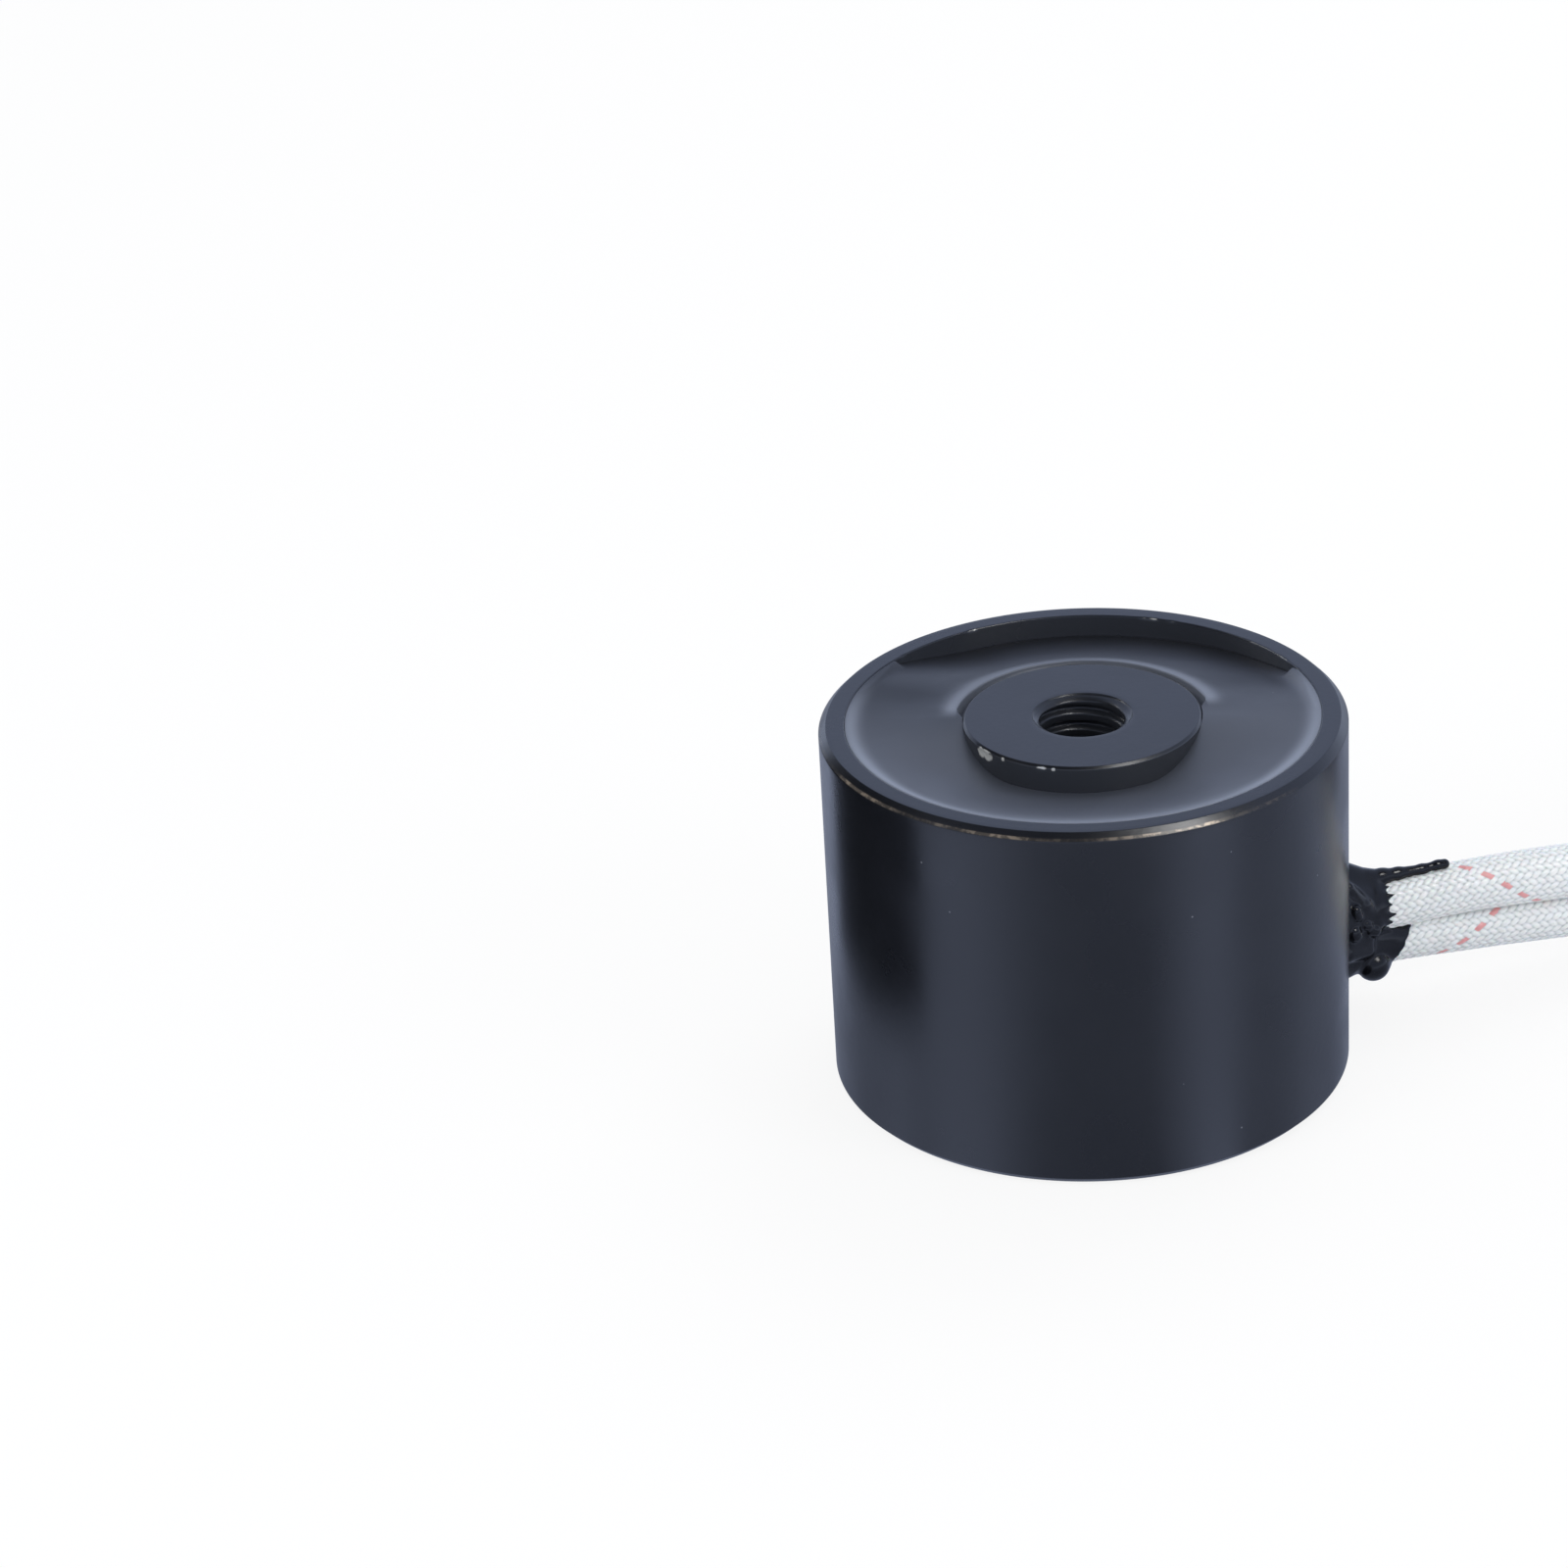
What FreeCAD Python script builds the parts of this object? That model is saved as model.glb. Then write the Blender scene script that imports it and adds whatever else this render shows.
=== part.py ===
import FreeCAD, Part
import Sketcher
import math
import os

# Mini holding electromagnet: a steel pot with a tapped centre core, a potted coil and two
# sleeved leads that leave the wall near the closed end. Millimetres, +Z up, origin at the
# centre of the closed end, pole face up, lead outlet on +X.

SIZES = {
    # steel pot
    "shell_diameter": 30.0,
    "shell_height": 22.0,
    "shell_wall": 1.5,
    "shell_floor": 2.0,
    "shell_chamfer": 0.3,
    "shell_corner": 0.5,
    # centre core
    "core_ratio": 0.4533,
    "core_chamfer": 0.15,
    "spigot_diameter": 9.0,
    "thread_bore": 4.92,
    "countersink_diameter": 6.0,
    # coil former
    "bobbin_clearance": 0.1,
    "bobbin_wall": 0.6,
    "flange_thickness": 0.7,
    "flange_gap": 1.2,
    "wire_slot": 0.4,
    # winding
    "winding_margin": 1.0,
    "tape_thickness": 0.15,
    "tape_lap": 50.0,
    "tape_window": 0.9,
    "magnet_wire": 0.25,
    # potting
    "potting_cover": 1.2,
    "core_step": 1.55,
    "core_step_behind": 0.05,
    "rim_step": 0.05,
    "rim_step_behind": 1.35,
    "potting_high_side": 75.0,
    "moat_width": 0.45,
    "moat_depth": 0.6,
    "moat_angle": 164.0,
    # lead outlet
    "outlet_height": 5.1,
    "outlet_clearance": 0.1,
    "sleeve_diameter": 2.9,
    "sleeve_bore": 2.0,
    "sleeve_inside": 0.8,
    "sleeve_offset": 0.2,
    "sleeve_straight": 11.0,
    # leads
    "lead_diameter": 1.2,
    "lead_setback": 3.5,
    "strand_diameter": 0.7,
    "strip_inside": 1.6,
    "joint_diameter": 1.1,
    "joint_length": 2.4,
    "tinned_length": 4.0,
    "lead_gap": 0.05,
    "lead_coil_radius": 6.2,
    "lead_coil_place": 50.5,
}

# Hand-chosen points of each lead, from its straight start to its coil on the floor. The sleeve
# ends at the first of them.
UPPER_RUN = [(38.0, -0.30, 5.60), (50.0, 0.00, 4.37)]
LOWER_RUN = [(38.0, 0.30, 2.40), (50.0, 0.00, 1.87)]

# Hand-chosen reach of each lead's free end from where it leaves its coil.
UPPER_END = (7.0, -2.9, -2.15)
LOWER_END = (7.0, -0.5, 0.0)

doc = FreeCAD.newDocument("electromagnet")
sheet = doc.addObject("Spreadsheet::Sheet", "Sizes")
for row, (alias, value) in enumerate(SIZES.items(), 1):
    sheet.set(f"A{row}", alias)
    sheet.set(f"B{row}", str(value))
    sheet.setAlias(f"B{row}", alias)
doc.recompute()

# Lengths that several sub-parts share, as expressions on the sheet.
OUTER = "Sizes.shell_diameter / 2"
CAVITY = "(Sizes.shell_diameter / 2 - Sizes.shell_wall)"
TOP = "Sizes.shell_height"
FLOOR = "Sizes.shell_floor"
CORE = "(Sizes.shell_diameter * Sizes.core_ratio / 2)"
BOBBIN_BORE = f"({CORE} + Sizes.bobbin_clearance)"
BOBBIN_TUBE = f"({BOBBIN_BORE} + Sizes.bobbin_wall)"
FLANGE = f"({CAVITY} - Sizes.flange_gap)"
BOBBIN_TOP = "(Sizes.shell_height - Sizes.core_step - Sizes.potting_cover)"
COIL_BOTTOM = "(Sizes.shell_floor + Sizes.flange_thickness)"
COIL_TOP = f"({BOBBIN_TOP} - Sizes.flange_thickness)"
WINDING = f"({FLANGE} - Sizes.winding_margin)"
TAPE = f"({WINDING} + Sizes.tape_thickness)"
UPPER_AXIS = "(Sizes.outlet_height + Sizes.sleeve_diameter / 2)"
LOWER_AXIS = "(Sizes.outlet_height - Sizes.sleeve_diameter / 2)"
OUTLET = "(Sizes.sleeve_diameter + Sizes.outlet_clearance)"
OUTLET_HEIGHT = "Sizes.outlet_height"
SLEEVE = "Sizes.sleeve_diameter"
JOINT_START = f"({OUTER} + Sizes.lead_setback - Sizes.strip_inside - Sizes.joint_length)"


def number(expression):
    """The value of an expression on the sheet, in millimetres or degrees."""
    return float(sheet.evalExpression(expression))


def body_named(label):
    body = doc.addObject("PartDesign::Body", label)
    body.Label = label
    return body


def sketch_on(body, role, name):
    """A sketch on one of the body's own origin planes."""
    plane = next(f for f in body.Origin.OriginFeatures if f.Role == role)
    sketch = body.newObject("Sketcher::SketchObject", name)
    sketch.AttachmentSupport = [(plane, "")]
    sketch.MapMode = "FlatFace"
    return sketch


def outline(sketch, corners):
    """A closed outline of straight edges, each corner held by its two expressions."""
    places = [FreeCAD.Vector(number(across), number(up), 0) for across, up in corners]
    for index, place in enumerate(places):
        following = places[(index + 1) % len(places)]
        sketch.addGeometry(Part.LineSegment(place, following), False)
    for index, (across, up) in enumerate(corners):
        previous = (index - 1) % len(corners)
        sketch.addConstraint(Sketcher.Constraint("Coincident", previous, 2, index, 1))
        for kind, expression, value in (
            ("DistanceX", across, places[index].x),
            ("DistanceY", up, places[index].y),
        ):
            held = sketch.addConstraint(Sketcher.Constraint(kind, -1, 1, index, 1, value))
            sketch.setExpression(f"Constraints[{held}]", expression)


def circle_at(sketch, across, up, radius):
    """A circle whose centre and radius are held by expressions."""
    centre = FreeCAD.Vector(number(across), number(up), 0)
    normal = FreeCAD.Vector(0, 0, 1)
    sketch.addGeometry(Part.Circle(centre, normal, number(radius)), False)
    for kind, expression, value in (
        ("DistanceX", across, centre.x),
        ("DistanceY", up, centre.y),
    ):
        held = sketch.addConstraint(Sketcher.Constraint(kind, -1, 1, 0, 3, value))
        sketch.setExpression(f"Constraints[{held}]", expression)
    held = sketch.addConstraint(Sketcher.Constraint("Radius", 0, number(radius)))
    sketch.setExpression(f"Constraints[{held}]", radius)


def revolved(body, sketch, axis="V_Axis", angle=None):
    """Turn the sketch about one of its own axes, all the way or through an angle."""
    turn = body.newObject("PartDesign::Revolution", sketch.Name + "_turned")
    turn.Profile = sketch
    turn.ReferenceAxis = (sketch, [axis])
    turn.Angle = 360
    if angle:
        turn.setExpression("Angle", angle)
    return turn


def pocketed(body, sketch, length, reversed_cut):
    """Cut the sketch into the body and make sure that the cut removed something."""
    doc.recompute()
    before = body.Shape.Volume
    cut = body.newObject("PartDesign::Pocket", sketch.Name + "_cut")
    cut.Profile = sketch
    cut.Type = "Length"
    cut.setExpression("Length", length)
    cut.Reversed = reversed_cut
    doc.recompute()
    if not body.Shape.Volume < before - 1e-3:
        raise RuntimeError(f"{cut.Name} removed nothing")
    return cut


def round_edges(shape, radius, height):
    """The names of the full circles of that radius at that height."""
    found = []
    for index, edge in enumerate(shape.Edges, 1):
        curve = edge.Curve
        if isinstance(curve, Part.Circle) and abs(curve.Radius - radius) < 1e-4:
            if abs(curve.Center.z - height) < 1e-4:
                found.append(f"Edge{index}")
    return found


def make_shell():
    """The turned steel pot, with the cross-drilled lead outlet."""
    body = body_named("shell")
    section = sketch_on(body, "XZ_Plane", "shell_section")
    outline(
        section,
        [
            ("Sizes.spigot_diameter / 2", "0"),
            (f"{OUTER} - Sizes.shell_chamfer", "0"),
            (OUTER, "Sizes.shell_chamfer"),
            (OUTER, f"{TOP} - Sizes.shell_chamfer"),
            (f"{OUTER} - Sizes.shell_chamfer", TOP),
            (CAVITY, TOP),
            (CAVITY, f"{FLOOR} + Sizes.shell_corner"),
            (f"{CAVITY} - Sizes.shell_corner", FLOOR),
            ("Sizes.spigot_diameter / 2", FLOOR),
        ],
    )
    revolved(body, section)
    outlet = sketch_on(body, "YZ_Plane", "outlet_hole")
    circle_at(outlet, "0", "Sizes.outlet_height", OUTLET)
    pocketed(body, outlet, "Sizes.shell_diameter", True)
    return body


def make_core():
    """The turned core: a spigot in the pot's floor and a tapped hole right through."""
    body = body_named("centre_core")
    section = sketch_on(body, "XZ_Plane", "core_section")
    outline(
        section,
        [
            ("0", "0"),
            ("Sizes.spigot_diameter / 2", "0"),
            ("Sizes.spigot_diameter / 2", FLOOR),
            (CORE, FLOOR),
            (CORE, f"{TOP} - Sizes.core_chamfer"),
            (f"{CORE} - Sizes.core_chamfer", TOP),
            ("0", TOP),
        ],
    )
    revolved(body, section)
    doc.recompute()
    centre = sketch_on(body, "XY_Plane", "thread_centre")
    centre.setExpression("AttachmentOffset.Base.z", TOP)
    circle_at(centre, "0", "0", "Sizes.thread_bore / 2")
    doc.recompute()
    hole = body.newObject("PartDesign::Hole", "thread_hole")
    hole.Profile = centre
    hole.DepthType = "ThroughAll"
    hole.ThreadType = "None"
    hole.setExpression("Diameter", "Sizes.thread_bore")
    hole.HoleCutType = "Countersink"
    hole.setExpression("HoleCutDiameter", "Sizes.countersink_diameter")
    hole.HoleCutCountersinkAngle = 90
    doc.recompute()
    mouth = round_edges(hole.Shape, number("Sizes.thread_bore / 2"), 0)
    lead_in = body.newObject("PartDesign::Chamfer", "rear_lead_in")
    lead_in.Base = (hole, mouth)
    lead_in.setExpression("Size", "(Sizes.countersink_diameter - Sizes.thread_bore) / 2")
    doc.recompute()
    return body


def make_bobbin():
    """The moulded former, with a slot in its lower flange for the inner end of the coil."""
    body = body_named("bobbin")
    section = sketch_on(body, "XZ_Plane", "bobbin_section")
    outline(
        section,
        [
            (BOBBIN_BORE, FLOOR),
            (FLANGE, FLOOR),
            (FLANGE, COIL_BOTTOM),
            (BOBBIN_TUBE, COIL_BOTTOM),
            (BOBBIN_TUBE, COIL_TOP),
            (FLANGE, COIL_TOP),
            (FLANGE, BOBBIN_TOP),
            (BOBBIN_BORE, BOBBIN_TOP),
        ],
    )
    revolved(body, section)
    slot = sketch_on(body, "XY_Plane", "start_slot")
    slot.setExpression("AttachmentOffset.Base.z", COIL_BOTTOM)
    near = "Sizes.sleeve_offset - Sizes.wire_slot / 2"
    far = "Sizes.sleeve_offset + Sizes.wire_slot / 2"
    past = f"{FLANGE} + Sizes.wire_slot"
    outline(slot, [(BOBBIN_TUBE, near), (past, near), (past, far), (BOBBIN_TUBE, far)])
    pocketed(body, slot, "Sizes.wire_slot", False)
    return body


def make_winding():
    """The wound copper, solid between the flanges."""
    body = body_named("coil_winding")
    section = sketch_on(body, "XZ_Plane", "winding_section")
    outline(
        section,
        [
            (BOBBIN_TUBE, COIL_BOTTOM),
            (WINDING, COIL_BOTTOM),
            (WINDING, COIL_TOP),
            (BOBBIN_TUBE, COIL_TOP),
        ],
    )
    revolved(body, section)
    return body


def make_tape():
    """The wrap over the winding, with its lap and the window for the outer coil end."""
    body = body_named("coil_tape")
    section = sketch_on(body, "XZ_Plane", "tape_section")
    outline(
        section,
        [
            (WINDING, COIL_BOTTOM),
            (TAPE, COIL_BOTTOM),
            (TAPE, COIL_TOP),
            (WINDING, COIL_TOP),
        ],
    )
    revolved(body, section)
    lap = sketch_on(body, "YZ_Plane", "lap_section")
    over = f"{TAPE} + Sizes.tape_thickness"
    outline(
        lap,
        [(TAPE, COIL_BOTTOM), (over, COIL_BOTTOM), (over, COIL_TOP), (TAPE, COIL_TOP)],
    )
    revolved(body, lap, angle="Sizes.tape_lap")
    window = sketch_on(body, "YZ_Plane", "finish_window")
    left = "-Sizes.sleeve_offset - Sizes.tape_window / 2"
    right = "-Sizes.sleeve_offset + Sizes.tape_window / 2"
    low = f"{UPPER_AXIS} + Sizes.sleeve_diameter"
    high = f"{low} + 2 * Sizes.tape_window"
    outline(window, [(left, low), (right, low), (right, high), (left, high)])
    pocketed(body, window, "Sizes.shell_diameter", True)
    return body


def rounded_path(points):
    """Straight runs joined by tangent arcs as large as their runs allow, and the arcs' radii."""
    points = [FreeCAD.Vector(*point) for point in points]
    edges, radii, start = [], [], points[0]
    for before, corner, after in zip(points, points[1:], points[2:]):
        back, ahead = before - corner, after - corner
        shorter = min(back.Length, ahead.Length)
        turn = math.pi - back.getAngle(ahead)
        reach = 0.45 * shorter
        radii.append(reach / math.tan(turn / 2))
        first = corner + back.normalize() * reach
        last = corner + ahead.normalize() * reach
        inward = (first + last) * 0.5 - corner
        sagitta = radii[-1] / math.cos(turn / 2) - radii[-1]
        middle = corner + inward.normalize() * sagitta
        edges.append(Part.LineSegment(start, first).toShape())
        edges.append(Part.Arc(first, middle, last).toShape())
        start = last
    edges.append(Part.LineSegment(start, points[-1]).toShape())
    return Part.Wire(edges), radii


def tube(points, radius, name=None):
    """A solid round rod along the rounded path, its volume checked against its length."""
    path, radii = rounded_path(points)
    start = FreeCAD.Vector(*points[0])
    along = FreeCAD.Vector(*points[1]) - start
    section = Part.Wire(Part.Circle(start, along, radius).toShape())
    rod = path.makePipeShell([section], True, True)
    expected = math.pi * radius**2 * path.Length
    if abs(rod.Volume - expected) > 0.01 * expected:
        raise RuntimeError(f"tube {name}: volume {rod.Volume:.3f}, expected {expected:.3f}")
    if name:
        print(name, f"{path.Length:.1f} long, radii", [round(radius, 1) for radius in radii])
    return rod


def bent_wire(points, radius):
    """A fine round wire of straight runs, mitred where it bends."""
    path = Part.makePolygon([FreeCAD.Vector(*point) for point in points])
    start = FreeCAD.Vector(*points[0])
    along = FreeCAD.Vector(*points[1]) - start
    section = Part.Wire(Part.Circle(start, along, radius).toShape())
    return path.makePipeShell([section], True, True, 1)


def feature(label, shape):
    """A sub-part whose shape is made directly from Part's own functions."""
    made = doc.addObject("Part::Feature", label)
    made.Label = label
    made.Shape = shape
    made.Placement = FreeCAD.Placement()
    return made


def make_potting_top():
    """Everything above the hand-poured surface, as one solid to cut away.

    The resin stands low against the core on the near side and climbs to the rim there; on
    the high side it stands nearly level with the pole face and falls towards the rim.
    """
    top = number(TOP)
    core = number(CORE)
    cavity = number(CAVITY)
    high_side = number("Sizes.potting_high_side")
    reach = cavity + 0.8
    steps = 24

    def smooth(value, low, high):
        share = min(max((value - low) / (high - low), 0.0), 1.0)
        return share * share * (3 - 2 * share)

    def between(ahead, behind, share):
        return number(ahead) + (number(behind) - number(ahead)) * share

    def height(across, along):
        """The surface over one point, by how far round from the high side it lies."""
        share = max(math.hypot(across, along) - core, 0.0) / (cavity - core)
        round_from = (high_side - math.degrees(math.atan2(along, across)) + 180) % 360 - 180
        sunk = max(smooth(round_from, 96, 152), smooth(-round_from, 82, 136))
        at_core = between("Sizes.core_step_behind", "Sizes.core_step", sunk)
        if round_from > 0:
            drawn = (1 - 0.35 * smooth(round_from, 15, 60)) * (1 - smooth(round_from, 50, 90))
        else:
            drawn = 1 - smooth(-round_from, -6, 62)
        at_rim = between("Sizes.rim_step", "Sizes.rim_step_behind", drawn)
        facing = smooth(math.cos(math.radians(round_from)), -0.25, 0.45)
        falling = 1 - max(1 - share, 0.0) ** 1.3
        climb = share**1.15 * (1 - facing) + falling * facing
        return top - at_core * (1 - climb) - at_rim * climb

    grid = []
    for i in range(steps + 1):
        across = -reach + 2 * reach * i / steps
        row = []
        for j in range(steps + 1):
            along = -reach + 2 * reach * j / steps
            row.append(FreeCAD.Vector(across, along, height(across, along)))
        grid.append(row)
    surface = Part.BSplineSurface()
    surface.interpolate(grid)
    return surface.toShape().extrude(FreeCAD.Vector(0, 0, top / 2))


def make_potting(tools):
    """The cast resin round the coil, cut back to its poured surface and to what it holds."""
    body = body_named("potting_cast")
    section = sketch_on(body, "XZ_Plane", "potting_section")
    outline(
        section,
        [
            (CORE, BOBBIN_TOP),
            (FLANGE, BOBBIN_TOP),
            (FLANGE, COIL_TOP),
            (TAPE, COIL_TOP),
            (TAPE, COIL_BOTTOM),
            (FLANGE, COIL_BOTTOM),
            (FLANGE, FLOOR),
            (f"{CAVITY} - Sizes.shell_corner", FLOOR),
            (CAVITY, f"{FLOOR} + Sizes.shell_corner"),
            (CAVITY, TOP),
            (CORE, TOP),
        ],
    )
    revolved(body, section)
    above = feature("potting_air", make_potting_top())
    moat = doc.addObject("Part::Cylinder", "moat")
    moat.setExpression("Radius", f"{CORE} + Sizes.moat_width")
    moat.setExpression("Height", "Sizes.shell_height")
    moat.setExpression("Angle", "Sizes.moat_angle")
    moat.Placement.Rotation = FreeCAD.Rotation(FreeCAD.Vector(0, 0, 1), 1)
    moat.setExpression("Placement.Base.z", f"{TOP} - Sizes.moat_depth")
    turned = "Sizes.potting_high_side - Sizes.moat_angle / 2"
    moat.setExpression("Placement.Rotation.Angle", turned)
    removed = doc.addObject("Part::MultiFuse", "potting_removed")
    removed.Shapes = [above, moat] + tools
    potting = doc.addObject("Part::Cut", "potting")
    potting.Label = "potting"
    potting.Base = body
    potting.Tool = removed
    return potting


def tapered(name, side, height, start, length, wide, narrow):
    """A cone along +X out of the pot's wall, its sizes as multiples of the sleeve's diameter."""
    cone = doc.addObject("Part::Cone", name)
    cone.setExpression("Radius1", f"{wide} * {SLEEVE}")
    cone.setExpression("Radius2", f"{narrow} * {SLEEVE}")
    cone.setExpression("Height", f"{length} * {SLEEVE}")
    cone.Placement.Rotation = FreeCAD.Rotation(FreeCAD.Vector(0, 1, 0), 90)
    cone.setExpression("Placement.Base.x", f"{OUTER} + {start} * {SLEEVE}")
    cone.setExpression("Placement.Base.y", side)
    cone.setExpression("Placement.Base.z", height)
    return cone


def make_sealant(sleeves):
    """The sealant in the outlet, and its lumps, drop and tongue on the sleeves outside."""
    upper_side, lower_side = "-Sizes.sleeve_offset", "Sizes.sleeve_offset"
    sleeve_top = f"{UPPER_AXIS} + {SLEEVE} / 2"
    drop_side, drop_height = f"-0.3 * {SLEEVE}", f"{LOWER_AXIS} - 0.32 * {SLEEVE}"
    lumps = doc.addObject("Part::MultiFuse", "sealant_lumps")
    lumps.Shapes = [
        tapered("upper_lump", upper_side, UPPER_AXIS, -0.25, 1.5, 1.03, 0.6),
        tapered("lower_lump", lower_side, LOWER_AXIS, -0.25, 1.75, 0.8, 0.54),
        tapered("sealant_tongue", upper_side, sleeve_top, 0.2, 2.3, 0.36, 0.09),
        tapered("sealant_drop", drop_side, drop_height, 0.3, 1.0, 0.36, 0.4),
    ]
    pot = doc.addObject("Part::Cylinder", "pot_outside")
    pot.setExpression("Radius", OUTER)
    pot.setExpression("Height", TOP)
    outside = doc.addObject("Part::Cut", "sealant_outside")
    outside.Base = lumps
    outside.Tool = pot
    plug = doc.addObject("Part::Cylinder", "outlet_plug")
    plug.setExpression("Radius", OUTLET)
    plug.setExpression("Height", f"{OUTER} + Sizes.shell_wall / 2")
    plug.Placement.Rotation = FreeCAD.Rotation(FreeCAD.Vector(0, 1, 0), 90)
    plug.setExpression("Placement.Base.z", OUTLET_HEIGHT)
    cavity = doc.addObject("Part::Cylinder", "pot_inside")
    cavity.setExpression("Radius", CAVITY)
    cavity.setExpression("Height", TOP)
    plugged = doc.addObject("Part::Cut", "sealant_plug")
    plugged.Base = plug
    plugged.Tool = cavity
    whole = doc.addObject("Part::Fuse", "sealant_whole")
    whole.Base = outside
    whole.Tool = plugged
    held = doc.addObject("Part::MultiFuse", "sleeves_held")
    held.Shapes = sleeves
    sealant = doc.addObject("Part::Cut", "outlet_sealant")
    sealant.Label = "outlet_sealant"
    sealant.Base = whole
    sealant.Tool = held
    return sealant


def make_joint(label, side, axis):
    """The soldered joint between a coil end and a lead, a spindle on the sleeve's axis."""
    body = body_named(label)
    section = sketch_on(body, "XZ_Plane", label + "_section")
    fat, thin = "Sizes.joint_diameter / 2", "Sizes.strand_diameter / 2"
    outline(
        section,
        [
            ("0", "0"),
            ("0", thin),
            ("Sizes.joint_length / 3", fat),
            ("2 * Sizes.joint_length / 3", fat),
            ("Sizes.joint_length", thin),
            ("Sizes.joint_length", "0"),
        ],
    )
    revolved(body, section, axis="H_Axis")
    body.setExpression("Placement.Base.x", JOINT_START)
    body.setExpression("Placement.Base.y", side)
    body.setExpression("Placement.Base.z", axis)
    return body


def make_strands(label, side, axis):
    """The stripped strands between the solder and the lead's jacket."""
    strands = doc.addObject("Part::Cylinder", label)
    strands.Label = label
    strands.setExpression("Radius", "Sizes.strand_diameter / 2")
    strands.setExpression("Height", "Sizes.strip_inside")
    strands.Placement.Rotation = FreeCAD.Rotation(FreeCAD.Vector(0, 1, 0), 90)
    strands.setExpression("Placement.Base.x", f"{JOINT_START} + Sizes.joint_length")
    strands.setExpression("Placement.Base.y", side)
    strands.setExpression("Placement.Base.z", axis)
    return strands


def free_end_line(layer, reach):
    """Start and finish of a lead's free end, which leaves the side of its coil."""
    place = number("Sizes.lead_coil_place")
    level = number(f"{layer} * (2 * Sizes.lead_diameter + Sizes.lead_gap)")
    level += number(f"(1 + {layer}) * Sizes.lead_diameter / 2")
    start = (place, -number("Sizes.lead_diameter / 4"), level)
    return [start, tuple(at + along for at, along in zip(start, reach))]


def make_lead_coil(label, layer, free_end):
    """The outer shape of one lead's put-away turns, with its free end."""
    ring = body_named(label + "_turns")
    section = sketch_on(ring, "XZ_Plane", label + "_section")
    half = "(Sizes.lead_diameter + Sizes.lead_gap / 2)"
    soft = "Sizes.lead_diameter / 4"
    inner, outer = f"Sizes.lead_coil_radius - {half}", f"Sizes.lead_coil_radius + {half}"
    outline(
        section,
        [
            (inner, soft),
            (f"{inner} + {soft}", "0"),
            (f"{outer} - {soft}", "0"),
            (outer, soft),
            (outer, f"2 * {half} - {soft}"),
            (f"{outer} - {soft}", f"2 * {half}"),
            (f"{inner} + {soft}", f"2 * {half}"),
            (inner, f"2 * {half} - {soft}"),
        ],
    )
    revolved(ring, section)
    ring.setExpression("Placement.Base.x", "Sizes.lead_coil_place")
    middle = "Sizes.lead_coil_radius + (Sizes.lead_diameter + Sizes.lead_gap) / 2"
    ring.setExpression("Placement.Base.y", middle)
    ring.setExpression("Placement.Base.z", f"{layer} * 2 * {half}")
    end = feature(label + "_end", tube(free_end, number("Sizes.lead_diameter / 2"), label))
    coil = doc.addObject("Part::Fuse", label)
    coil.Label = label
    coil.Base = ring
    coil.Tool = end
    return coil


def make_tinned_end(label, free_end):
    """The bare tinned strands that stick out of the lead's free end."""
    last = FreeCAD.Vector(*free_end[-1])
    along = last - FreeCAD.Vector(*free_end[-2])
    tinned = doc.addObject("Part::Cylinder", label)
    tinned.Label = label
    tinned.setExpression("Radius", "Sizes.strand_diameter / 2")
    tinned.setExpression("Height", "Sizes.tinned_length")
    tinned.Placement = FreeCAD.Placement(last, FreeCAD.Rotation(FreeCAD.Vector(0, 0, 1), along))
    return tinned


def make_lead(name, side, axis, run, layer, reach):
    """One lead: sleeve, jacketed run, coil, solder joint, strands and tinned end."""
    offset, height = number(side), number(axis)
    free_end = free_end_line(layer, reach)
    sleeve_start = (number(f"{CAVITY} - Sizes.sleeve_inside"), offset, height)
    jacket_start = (number(f"{OUTER} + Sizes.lead_setback"), offset, height)
    first_bend = (number(f"{OUTER} + Sizes.sleeve_straight"), offset, height)
    sleeve_route = [sleeve_start, first_bend, run[0]]
    outside = tube(sleeve_route, number("Sizes.sleeve_diameter / 2"))
    inside = tube(sleeve_route, number("Sizes.sleeve_bore / 2"))
    envelope = feature(name + "_sleeve_outside", outside)
    sleeve = feature(name + "_sleeve", outside.cut(inside))
    coil = make_lead_coil(name + "_lead_coil", layer, free_end)
    doc.recompute()
    jacket_route = [jacket_start, first_bend] + run
    jacket = tube(jacket_route, number("Sizes.lead_diameter / 2"), name + "_lead")
    lead = feature(name + "_lead", jacket.cut(coil.Shape))
    return envelope, [
        sleeve,
        lead,
        coil,
        make_joint(name + "_solder_joint", side, axis),
        make_strands(name + "_stripped_end", side, axis),
        make_tinned_end(name + "_tinned_end", free_end),
    ]


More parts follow.
